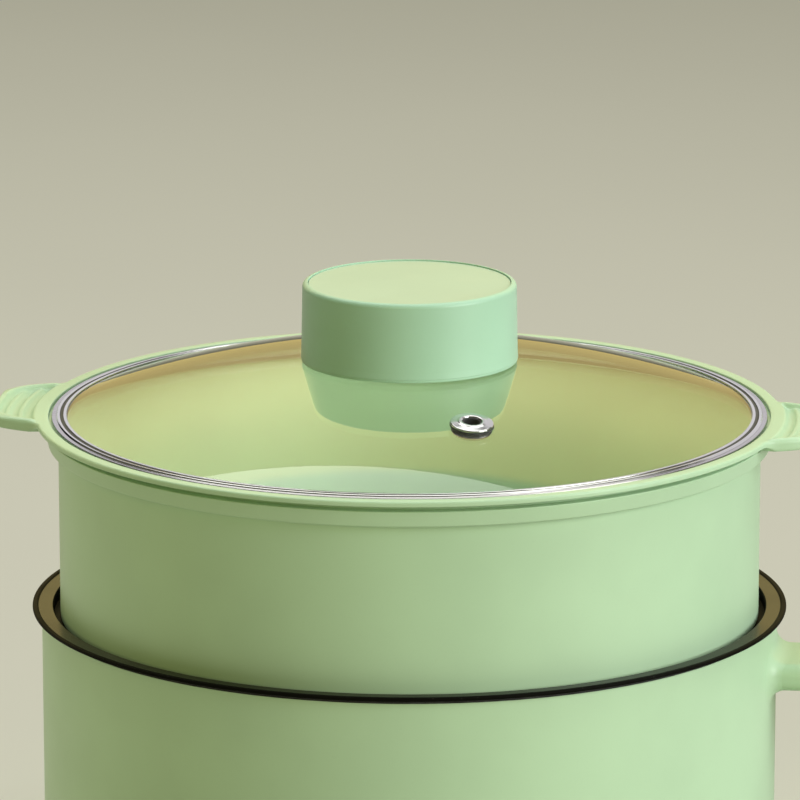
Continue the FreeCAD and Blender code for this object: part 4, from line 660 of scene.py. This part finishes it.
def basket_floor(size):
    """The pierced floor: a flat plate with its holes, from a filled plane curve."""
    curve = bpy.data.curves.new("basket_floor_plan", "CURVE")
    curve.dimensions = "2D"
    curve.fill_mode = "BOTH"
    curve.extrude = size.floor / 2 * MM
    curve.resolution_u = 1
    for x, y, radius, count in floor_plan(size):
        line = curve.splines.new("POLY")
        line.points.add(count - 1)
        line.use_cyclic_u = True
        for angle, vertex in zip(circle(count), line.points):
            vertex.co = ((x + radius * math.cos(angle)) * MM, (y + radius * math.sin(angle)) * MM, 0, 1)
    holder = bpy.data.objects.new("basket_floor_plan", curve)
    mesh = bpy.data.meshes.new_from_object(holder)
    bpy.data.objects.remove(holder)
    mesh.transform(Matrix.Translation((0, 0, (size.basket_under + size.floor / 2) * MM)))
    return mesh


def joined_mesh(name, *meshes):
    """One mesh of several, with the points that coincide made one."""
    shape = bmesh.new()
    for mesh in meshes:
        shape.from_mesh(mesh)
    whole = bpy.data.meshes.new(name)
    bmesh.ops.remove_doubles(shape, verts=shape.verts, dist=0.001 * MM)
    shape.to_mesh(whole)
    shape.free()
    return whole


class HOTPOT_OT_basket(bpy.types.Operator):
    """Loft the steamer basket with its flared lip, its two fluted ears and its pierced floor"""
    bl_idname = "hotpot.basket"
    bl_label = "Steamer basket"

    def execute(self, context):
        size = in_mm(context.scene.hotpot_sizes)
        mesh = joined_mesh("steamer_basket_body", basket_wall(size), basket_floor(size))
        piece("steamer_basket_body", mesh, "steamer", "green_plastic", "steamer_basket")
        return {"FINISHED"}


# ---------------------------------------------------------------- lid

def outer_sphere(size):
    """Radius of the sphere that the glass's outer face is part of, and the height of its centre."""
    radius = (size.glass_edge ** 2 + size.glass_sag ** 2) / (2 * size.glass_sag)
    return radius, size.crown - radius


def glass_dome(size, bolt_hole=3.4, steps=72):
    """The dome with even thickness, open in the middle for the knob's bolt."""
    radius, centre = outer_sphere(size)
    faces = []
    for ball in (radius, radius - size.glass):
        start, end = math.asin(bolt_hole / ball), math.asin(size.glass_edge / ball)
        angles = [start + (end - start) * step / steps for step in range(steps + 1)]
        faces.append([(ball * math.sin(angle), centre + ball * math.cos(angle)) for angle in angles])
    outer, inner = faces
    return turned("lid_glass_dome", outer + inner[::-1], 320)


def vent_stand(size):
    """Where the vent leaves the glass, in metres, and the way it leans."""
    low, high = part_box("vent_eyelet")
    radius, height = outer_sphere(size)
    centre = Vector((0, 0, height * MM))
    lean = ((low + high) / 2 - centre).normalized()
    return centre + lean * radius * MM, lean


def drill_vent(thing, size, hole=5.0, depth=40):
    """The mesh of the glass with the vent's hole cut through it."""
    tool = bmesh.new()
    bmesh.ops.create_cone(tool, cap_ends=True, segments=64, radius1=hole * MM, radius2=hole * MM,
                          depth=depth * MM)
    mesh = bpy.data.meshes.new("vent_drill")
    tool.to_mesh(mesh)
    tool.free()
    drill = bpy.data.objects.new("vent_drill", mesh)
    drill.location, lean = vent_stand(size)
    drill.rotation_mode = "QUATERNION"
    drill.rotation_quaternion = lean.to_track_quat("Z", "Y")
    bpy.context.scene.collection.objects.link(drill)
    cut = thing.modifiers.new("vent_hole", "BOOLEAN")
    cut.operation = "DIFFERENCE"
    cut.object = drill
    bpy.context.view_layer.update()
    graph = bpy.context.evaluated_depsgraph_get()
    bored = bpy.data.meshes.new_from_object(thing.evaluated_get(graph))
    bpy.data.objects.remove(drill)
    return bored


def dome_normals(mesh, size):
    """Give the dome's two faces the normals of their spheres, so that reflections stay even."""
    middle = Vector((0, 0, outer_sphere(size)[1] * MM))
    normals = []
    for face in mesh.polygons:
        for loop in face.loop_indices:
            outward = (mesh.vertices[mesh.loops[loop].vertex_index].co - middle).normalized()
            lean = face.normal.dot(outward)
            normals.append(outward * math.copysign(1, lean) if abs(lean) > 0.9 else face.normal)
    mesh.normals_split_custom_set(normals)


class HOTPOT_OT_glass(bpy.types.Operator):
    """Turn the glass dome, bore its vent hole and even out its reflections"""
    bl_idname = "hotpot.glass"
    bl_label = "Lid glass"

    def execute(self, context):
        size = in_mm(context.scene.hotpot_sizes)
        mesh = glass_dome(size)
        tidy_normals(mesh)
        blank = bpy.data.objects.new("lid_glass_blank", mesh)
        context.scene.collection.objects.link(blank)
        bored = drill_vent(blank, size)
        bpy.data.objects.remove(blank)
        bored.materials.clear()
        dome = piece("lid_glass_dome", bored, "lid", "clear_glass", "lid_glass")
        dome.modifiers.clear()
        dome_normals(dome.data, size)
        dress("lid_gasket", "bolt_washer", "knob_bolt", "knob_gasket", "knob_insert")
        return {"FINISHED"}


def band_outline(size):
    """The stepped steel band: a brushed outer fold that is also painted darker as shade, a rolled middle, a
    groove and an inner flange.
    """
    edge, mouth, glass = size.band, size.mouth, size.glass_edge
    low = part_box("lid_rim_band")[0].z / MM
    seat, groove = mouth - 1.6, mouth - 1.1
    return rounded([
        (glass + 0.6, seat, 0.1),
        (edge - 0.7, seat, 0.1),
        (edge - 0.8, mouth - 0.1, 0.35),
        (edge - 2.4, mouth - 0.15, 0.3),
        (edge - 2.9, mouth + 0.5, 0.5),
        (glass + 1.3, mouth + 0.4, 0.3),
        (glass + 1.2, groove, 0.15),
        (glass + 0.2, groove, 0.15),
        (glass + 0.1, mouth + 0.5, 0.3),
        (glass - 1.1, mouth + 0.55, 0.15),
        (glass - 1.1, mouth + 0.1, 0.1),
        (glass + 0.3, mouth - 0.1),
        (glass + 0.3, low + 0.7),
        (glass - 2.2, low + 0.7, 0.1),
        (glass - 2.2, low, 0.1),
        (glass + 1.0, low, 0.3),
        (glass + 1.0, seat - 0.3)], 4)


def seal_outline(size):
    """The soft ring that fills the band's groove."""
    mouth, glass = size.mouth, size.glass_edge
    return rounded([
        (glass + 0.1, mouth - 1.15),
        (glass + 1.25, mouth - 1.15),
        (glass + 1.3, mouth - 0.1, 0.2),
        (glass + 0.7, mouth + 0.15, 0.4),
        (glass + 0.05, mouth + 0.1, 0.2),
        (glass + 0.1, mouth - 1.1)], 4)


class HOTPOT_OT_band(bpy.types.Operator):
    """Turn the stepped steel band of the lid and the seal in its groove"""
    bl_idname = "hotpot.band"
    bl_label = "Lid band"

    def execute(self, context):
        size = in_mm(context.scene.hotpot_sizes)
        mesh = turned("lid_band_steel", band_outline(size), 320)
        piece("lid_band_steel", mesh, "lid", "stainless", "lid_rim_band")
        # The outer fold takes the rougher, darker steel: painted shade along its edge by the basket's lip.
        repaint(mesh, "brushed_fold", lambda across: across > size.band - 2.6)
        piece("lid_groove_seal", turned("lid_groove_seal", seal_outline(size), 256), "lid", "rubber")
        return {"FINISHED"}


class HOTPOT_OT_vent(bpy.types.Operator):
    """Turn the vent's steel collar, the dark sleeve in its bore that stands for painted shade, and the soft
    ring between it and the glass
    """
    bl_idname = "hotpot.vent"
    bl_label = "Lid vent"

    # Radii, then heights along the vent's own axis, in millimetres.
    BORE, SLEEVE, FLANGE, FOOT = 3.45, 4.6, 7.75, 6.75
    SEAT, UNDER = 0.7, -4.4

    def execute(self, context):
        size = in_mm(context.scene.hotpot_sizes)
        self.stand(size, "vent_collar", self.collar(), "stainless", "vent_eyelet")
        # A dark sleeve of painted shade inside the collar's bore.
        self.stand(size, "vent_bore_shade_sleeve", self.shade_sleeve(), "rubber")
        self.stand(size, "vent_grommet", self.grommet(), "rubber", "vent_seals")
        return {"FINISHED"}

    def collar(self):
        """The steel eyelet: a domed flange over the glass and a folded foot under it."""
        bore, sleeve, flange, foot = self.BORE, self.SLEEVE, self.FLANGE, self.FOOT
        seat, under, end = self.SEAT + 0.02, self.UNDER, self.UNDER - 0.8
        return [
            (bore, end), (bore, 2.15, 0.6), (4.7, 2.15, 0.5), (5.3, 1.75, 0.6), (flange, 1.45, 0.45),
            (flange, seat, 0.12), (sleeve, seat), (sleeve, under), (foot, under, 0.2), (foot, end, 0.2),
            (bore, end)]

    def shade_sleeve(self):
        """The thin dark sleeve in the collar's bore: painted shade, so that the bore reads black."""
        outer, inner = self.BORE - 0.03, self.BORE - 0.45
        return [(outer, 1.5), (outer, -5.0), (inner, -5.0), (inner, 1.3, 0.2), (outer, 1.5)]

    def grommet(self):
        """The soft ring that grips the glass above, within and below its hole."""
        inner, above, below, hole = self.SLEEVE + 0.05, self.FLANGE + 0.2, self.FOOT + 0.45, 4.95
        top, bottom = self.SEAT - 0.02, self.UNDER + 0.02
        return [
            (inner, top), (above, top, 0.2), (above, 0.04, 0.1), (hole, 0.04), (hole, -3.95),
            (below, -3.95, 0.15), (below, bottom, 0.15), (inner, bottom), (inner, top)]

    @staticmethod
    def stand(size, name, corners, slot, *replaced):
        """Turn a closed outline and stand it where the vent leans out of the glass."""
        mesh = turned(name, rounded(corners, 7)[:-1], 96)
        foot, lean = vent_stand(size)
        mesh.transform(Matrix.Translation(foot) @ lean.to_track_quat("Z", "Y").to_matrix().to_4x4())
        piece(name, mesh, "lid", slot, *replaced)


def knob_outline():
    """The drum: a rounded crown round the disc, a barely tapered side and a small step at its foot."""
    low, high = (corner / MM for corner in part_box("knob_shell"))
    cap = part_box("knob_cap")[1] / MM
    foot, outer, inner, pocket = low.z - 1.2, high.x, cap.x + 0.05, cap.z - 1.5
    return rounded([
        (inner, pocket),
        (inner, high.z, 0.15),
        (cap.x + 2.05, high.z, 1.75),
        (outer - 0.25, foot + 3.4, 2.0),
        (outer - 0.1, foot + 1.15, 0.2),
        (outer - 0.3, foot + 0.95, 0.1),
        (outer - 0.3, foot, 0.5),
        (outer - 2.8, foot, 0.3),
        (outer - 3.0, cap.z - 2.6),
        (inner - 1.6, cap.z - 2.4),
        (inner - 1.6, pocket)], 6)


def disc_outline():
    """The very slightly domed disc that closes the drum."""
    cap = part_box("knob_cap")[1] / MM
    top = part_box("knob_shell")[1].z / MM
    middle, edge, under = 0.02, cap.x - 0.05, cap.z - 1.4
    return rounded([
        (middle, under),
        (middle, top - 0.25),
        (cap.x * 0.6, top - 0.28, 60),
        (edge, top - 0.45, 0.35),
        (edge, under)], 6)


class HOTPOT_OT_knob(bpy.types.Operator):
    """Turn the knob's drum with its rounded rim and the pale disc set in it"""
    bl_idname = "hotpot.knob"
    bl_label = "Lid knob"

    def execute(self, context):
        piece("knob_drum", turned("knob_drum", knob_outline(), 256), "lid", "knob_green", "knob_shell")
        piece("knob_disc", turned("knob_disc", disc_outline(), 192), "lid", "pale_green_cap", "knob_cap")
        return {"FINISHED"}


# ---------------------------------------------------------------- base

class HOTPOT_OT_pot(bpy.types.Operator):
    """Turn the non-stick pot with its rolled, stepped rim, and dress the seal under it"""
    bl_idname = "hotpot.pot"
    bl_label = "Inner pot"

    # Millimetres inward from the rim to the step and to the bore.
    STEP, BORE = 7.6, 14.3

    def execute(self, context):
        size = in_mm(context.scene.hotpot_sizes)
        mesh = turned("pot_coated", rounded(self.corners(size), 7), 360)
        piece("pot_coated", mesh, "cooker_base", "nonstick", "inner_pot")
        # The bead and the recess inside the step take the darker, duller coating: painted shade.
        bead, step = size.pot_rim - 2.2, size.pot_rim - self.STEP + 0.3
        repaint(mesh, "nonstick_dull", lambda across: across > bead or across < step)
        dress("rim_seal")
        return {"FINISHED"}

    def corners(self, size):
        """Corners of the pot's sheet: under it and out to the rim, then over the rim and down inside."""
        rim, top, sheet = size.pot_rim, size.pot_top, size.pot_sheet
        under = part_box("inner_pot")[0].z / MM
        step, bore, middle = rim - self.STEP, rim - self.BORE, 0.2
        flat, ledge = top - 0.5, top - size.pot_ledge
        return [
            (middle, under),
            (bore + sheet, under, 21.6),
            (bore + sheet, ledge - sheet, 0.4),
            (step + sheet, ledge - sheet, 1.2),
            (step + sheet, flat - sheet, 0.4),
            (rim - 3.0, flat - sheet, 0.8),
            (rim - 1.2, flat - 0.9, 0.6),
            (rim, flat - 0.9, 0.55),
            (rim, top, 0.65),
            (rim - 1.6, top, 0.5),
            (rim - 2.1, flat, 0.3),
            (step, flat, 0.45),
            (step, ledge, 0.5),
            (bore, ledge, 0.9),
            (bore, under + sheet, 20.0),
            (middle, under + sheet)]


class HOTPOT_OT_housing(bpy.types.Operator):
    """Dress the housing, the bottom cover, the feet and the power inlet"""
    bl_idname = "hotpot.housing"
    bl_label = "Housing and base"

    def execute(self, context):
        dress("outer_housing", "base_cover", "rubber_feet", "base_screws", "power_inlet", "inlet_pins")
        return {"FINISHED"}


class HOTPOT_OT_heater(bpy.types.Operator):
    """Dress the heating plate, the element and the wiring inside the base"""
    bl_idname = "hotpot.heater"
    bl_label = "Heating parts"

    def execute(self, context):
        dress("heating_plate", "heating_element", "element_terminals", "thermostat", "thermostat_bracket",
              "bracket_screws", "thermal_fuse", "heat_shield", "shield_studs", "shield_nuts", "wiring_leads")
        return {"FINISHED"}


def heat_marks(dial, count=7, reach=18.4, first=120, apart=20, smallest=0.45, growth=0.07, flatness=0.35):
    """Raised marks on the bezel, growing from the lowest heat to the highest."""
    shape = bmesh.new()
    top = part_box("dial_bezel")[1].z
    for step in range(count):
        angle = math.radians(first + apart * step)
        size = (smallest + growth * step) * MM
        made = bmesh.ops.create_uvsphere(shape, u_segments=20, v_segments=10, radius=size)
        for vertex in made["verts"]:
            vertex.co.z = vertex.co.z * flatness + top
            vertex.co.x += dial.x + reach * MM * math.cos(angle)
            vertex.co.y += dial.y + reach * MM * math.sin(angle)
    mesh = bpy.data.meshes.new("heat_marks")
    shape.to_mesh(mesh)
    shape.free()
    return mesh


def pointer_bar(dial, near=5.0, far=11.6, half_width=0.9):
    """A rounded bar in the dish of the dial, from the shaft towards its rim."""
    x, y = dial.x / MM, dial.y / MM
    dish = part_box("dial_knob")[1].z / MM - 1.0
    rings = []
    for height, inset in ((-0.1, 0.0), (0.35, 0.0), (0.55, 0.12), (0.6, 0.35)):
        half = half_width - inset
        ring = []
        for angle in circle(32):
            end = far if math.cos(angle) < 0 else near
            ring.append((x - end + half * math.cos(angle), y + half * math.sin(angle), dish + height))
        rings.append(ring)
    mesh = loft("dial_pointer", rings, closed=False)
    shape = bmesh.new()
    shape.from_mesh(mesh)
    shape.verts.ensure_lookup_table()
    shape.faces.new(shape.verts[-len(rings[-1]):])
    shape.to_mesh(mesh)
    shape.free()
    return mesh


class HOTPOT_OT_handle(bpy.types.Operator):
    """Dress the handle, the dial with its pointer, the heat marks and the lamp"""
    bl_idname = "hotpot.handle"
    bl_label = "Handle and dial"

    def execute(self, context):
        dress("handle_upper_shell", "handle_lower_shell", "handle_screws", "handle_bracket", "rotary_switch",
              "switch_nut", "dial_bezel", "dial_knob", "dial_shaft", "indicator_lens", "indicator_lamp")
        low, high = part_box("dial_knob")
        middle = (low + high) / 2
        piece("heat_marks", heat_marks(middle), "cooker_base", "mark_paint")
        piece("dial_pointer", pointer_bar(middle), "power_dial", "mark_paint")
        return {"FINISHED"}


# ---------------------------------------------------------------- stage

COOL = (0.97, 1, 1)
PALE = (0.97, 1, 0.98)
WARM = (1, 0.92, 0.50)
AMBER = (1, 0.92, 0.28)
LILAC = (0.97, 0.95, 1)


def soft_light(name, watts, width, height, place, tone, target=(0, 0, 0.14)):
    """A rectangular lamp that shines on its target and stays out of sight."""
    lamp = bpy.data.lights.new(name, "AREA")
    lamp.shape = "RECTANGLE"
    lamp.size, lamp.size_y = width, height
    lamp.energy = watts
    lamp.color = tone
    thing = bpy.data.objects.new(name, lamp)
    thing.location = place
    thing.rotation_mode = "QUATERNION"
    thing.rotation_quaternion = (Vector(target) - Vector(place)).to_track_quat("-Z", "Y")
    thing.visible_camera = False
    thing.visible_transmission = False
    bpy.context.scene.collection.objects.link(thing)
    return thing


def lit_cloth(brightness, away=4.6, half=5, foot=0.01, head=8):
    """A lit cloth hung behind the pot, which only shows in reflections."""
    mesh = bpy.data.meshes.new("studio_cloth")
    mesh.from_pydata([(-half, away, foot), (half, away, foot), (half, away, head), (-half, away, head)],
                     [], [(0, 1, 2, 3)])
    mesh.materials.append(glowing_cloth("studio_cloth_lit", (0.42, 0.33, 0.12), (1.0, 0.84, 0.36),
                                        (0.30, 0.42, 0.34), brightness))
    card = bpy.data.objects.new("studio_cloth", mesh)
    bpy.context.scene.collection.objects.link(card)
    card.visible_camera = False
    card.visible_diffuse = False
    card.visible_transmission = False
    card.visible_shadow = False
    return card


def shine_on(state, lamp, names):
    """Let a lamp reach the named pieces alone, or all but them."""
    chosen = bpy.data.collections.new(f"{lamp.name}_{state.lower()}")
    for name in names:
        chosen.objects.link(bpy.data.objects[name])
    for member in chosen.collection_objects:
        member.light_linking.link_state = state
    lamp.light_linking.receiver_collection = chosen


def lay_floor(tone, radius=14):
    """A round floor so wide that its edge is out of sight."""
    mesh = bpy.data.meshes.new("studio_floor")
    shape = bmesh.new()
    bmesh.ops.create_circle(shape, cap_ends=True, segments=128, radius=radius)
    shape.to_mesh(mesh)
    shape.free()
    mesh.materials.append(painted_floor("studio_paint", tone))
    ground = bpy.data.objects.new("studio_floor", mesh)
    bpy.context.scene.collection.objects.link(ground)


def fill_air(scene, tone, strength):
    """Faint light from all round."""
    world = bpy.data.worlds.new("studio_air")
    world.use_nodes = True
    air = world.node_tree.nodes["Background"]
    air.inputs["Color"].default_value = (*tone, 1)
    air.inputs["Strength"].default_value = strength
    scene.world = world


def hang_lights(studio):
    """The key, fill, front and overhead lights, and the cloth and the panel that only reflections show."""
    floor, metals = "studio_floor", ("lid_band_steel", "vent_collar")
    key = soft_light("key_right", studio.key, 1.5, 1.3, (2.04, -0.9, 0.85), COOL)
    shine_on("EXCLUDE", key, (floor,))
    fill = soft_light("fill_left", studio.fill, 0.8, 1.4, (-1.9, 0.5, 0.8), WARM)
    shine_on("EXCLUDE", fill, (floor, "knob_drum", "knob_disc", *metals))
    soft_light("over_pot", studio.over, 3.4, 2.0, (0.15, 0.45, 2.3), PALE)
    front = soft_light("front", studio.front, 1.8, 1.4, (-0.35, -2.6, 0.9), AMBER)
    shine_on("EXCLUDE", front, (floor, *metals))
    shine_on("EXCLUDE", lit_cloth(studio.cloth), (floor, *metals))
    panel = soft_light("white_panel", studio.panel, 10.0, 4.4, (0.3, 4.4, 2.5), LILAC, (0, 0, 2.5))
    shine_on("INCLUDE", panel, metals)


def aim_camera(scene, studio):
    """Look along the set angles, with the middle of the basket's mouth at its set place in the picture."""
    turn, rise = studio.azimuth, studio.elevation
    back = Vector((math.sin(turn) * math.cos(rise), -math.cos(turn) * math.cos(rise), math.sin(rise)))
    right = Vector((math.cos(turn), math.sin(turn), 0))
    upward = right.cross(-back)
    camera = bpy.data.cameras.new("studio_camera")
    camera.lens = studio.lens
    camera.clip_end = 100
    pixel = studio.distance * camera.sensor_width / (studio.lens * studio.picture)
    mouth = Vector((0, 0, scene.hotpot_sizes.mouth))
    target = mouth + (upward * studio.downward - right * studio.rightward) * pixel
    thing = bpy.data.objects.new("studio_camera", camera)
    thing.location = target + back * studio.distance
    thing.rotation_mode = "QUATERNION"
    thing.rotation_quaternion = (-back).to_track_quat("-Z", "Y")
    scene.collection.objects.link(thing)
    scene.camera = thing


class HOTPOT_OT_stage(bpy.types.Operator):
    """Lay the floor, hang the lights and set up the camera"""
    bl_idname = "hotpot.stage"
    bl_label = "Studio"

    def execute(self, context):
        scene = context.scene
        studio = scene.hotpot_studio
        lay_floor(tuple(studio.floor))
        fill_air(scene, studio.air, studio.air_strength)
        hang_lights(studio)
        aim_camera(scene, studio)
        scene.view_settings.view_transform = "Standard"
        return {"FINISHED"}


# ---------------------------------------------------------------- panel and start

STEPS = ("housing", "pot", "heater", "handle", "basket", "glass", "band", "vent", "knob", "stage")


class HOTPOT_PT_panel(bpy.types.Panel):
    """The steps in order, and every size, finish and studio setting"""
    bl_idname = "HOTPOT_PT_panel"
    bl_label = "Hot Pot"
    bl_space_type = "VIEW_3D"
    bl_region_type = "UI"
    bl_category = "Hot Pot"

    def draw(self, context):
        for step in STEPS:
            self.layout.operator(f"hotpot.{step}")
        for group in (context.scene.hotpot_sizes, context.scene.hotpot_finishes, context.scene.hotpot_studio):
            box = self.layout.box()
            for name in group.__annotations__:
                box.prop(group, name)


CLASSES = (HotPotSizes, HotPotFinishes, HotPotStudio, HOTPOT_OT_housing, HOTPOT_OT_pot, HOTPOT_OT_heater,
           HOTPOT_OT_handle, HOTPOT_OT_basket, HOTPOT_OT_glass, HOTPOT_OT_band, HOTPOT_OT_vent,
           HOTPOT_OT_knob, HOTPOT_OT_stage, HOTPOT_PT_panel)


def register():
    for kind in CLASSES:
        bpy.utils.register_class(kind)
    bpy.types.Scene.hotpot_sizes = PointerProperty(type=HotPotSizes)
    bpy.types.Scene.hotpot_finishes = PointerProperty(type=HotPotFinishes)
    bpy.types.Scene.hotpot_studio = PointerProperty(type=HotPotStudio)


def unregister():
    del bpy.types.Scene.hotpot_studio
    del bpy.types.Scene.hotpot_finishes
    del bpy.types.Scene.hotpot_sizes
    for kind in reversed(CLASSES):
        bpy.utils.unregister_class(kind)


def main():
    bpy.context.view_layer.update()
    register()
    for step in STEPS:
        getattr(bpy.ops.hotpot, step)()
    bpy.context.view_layer.update()


if __name__ == "__main__":
    main()
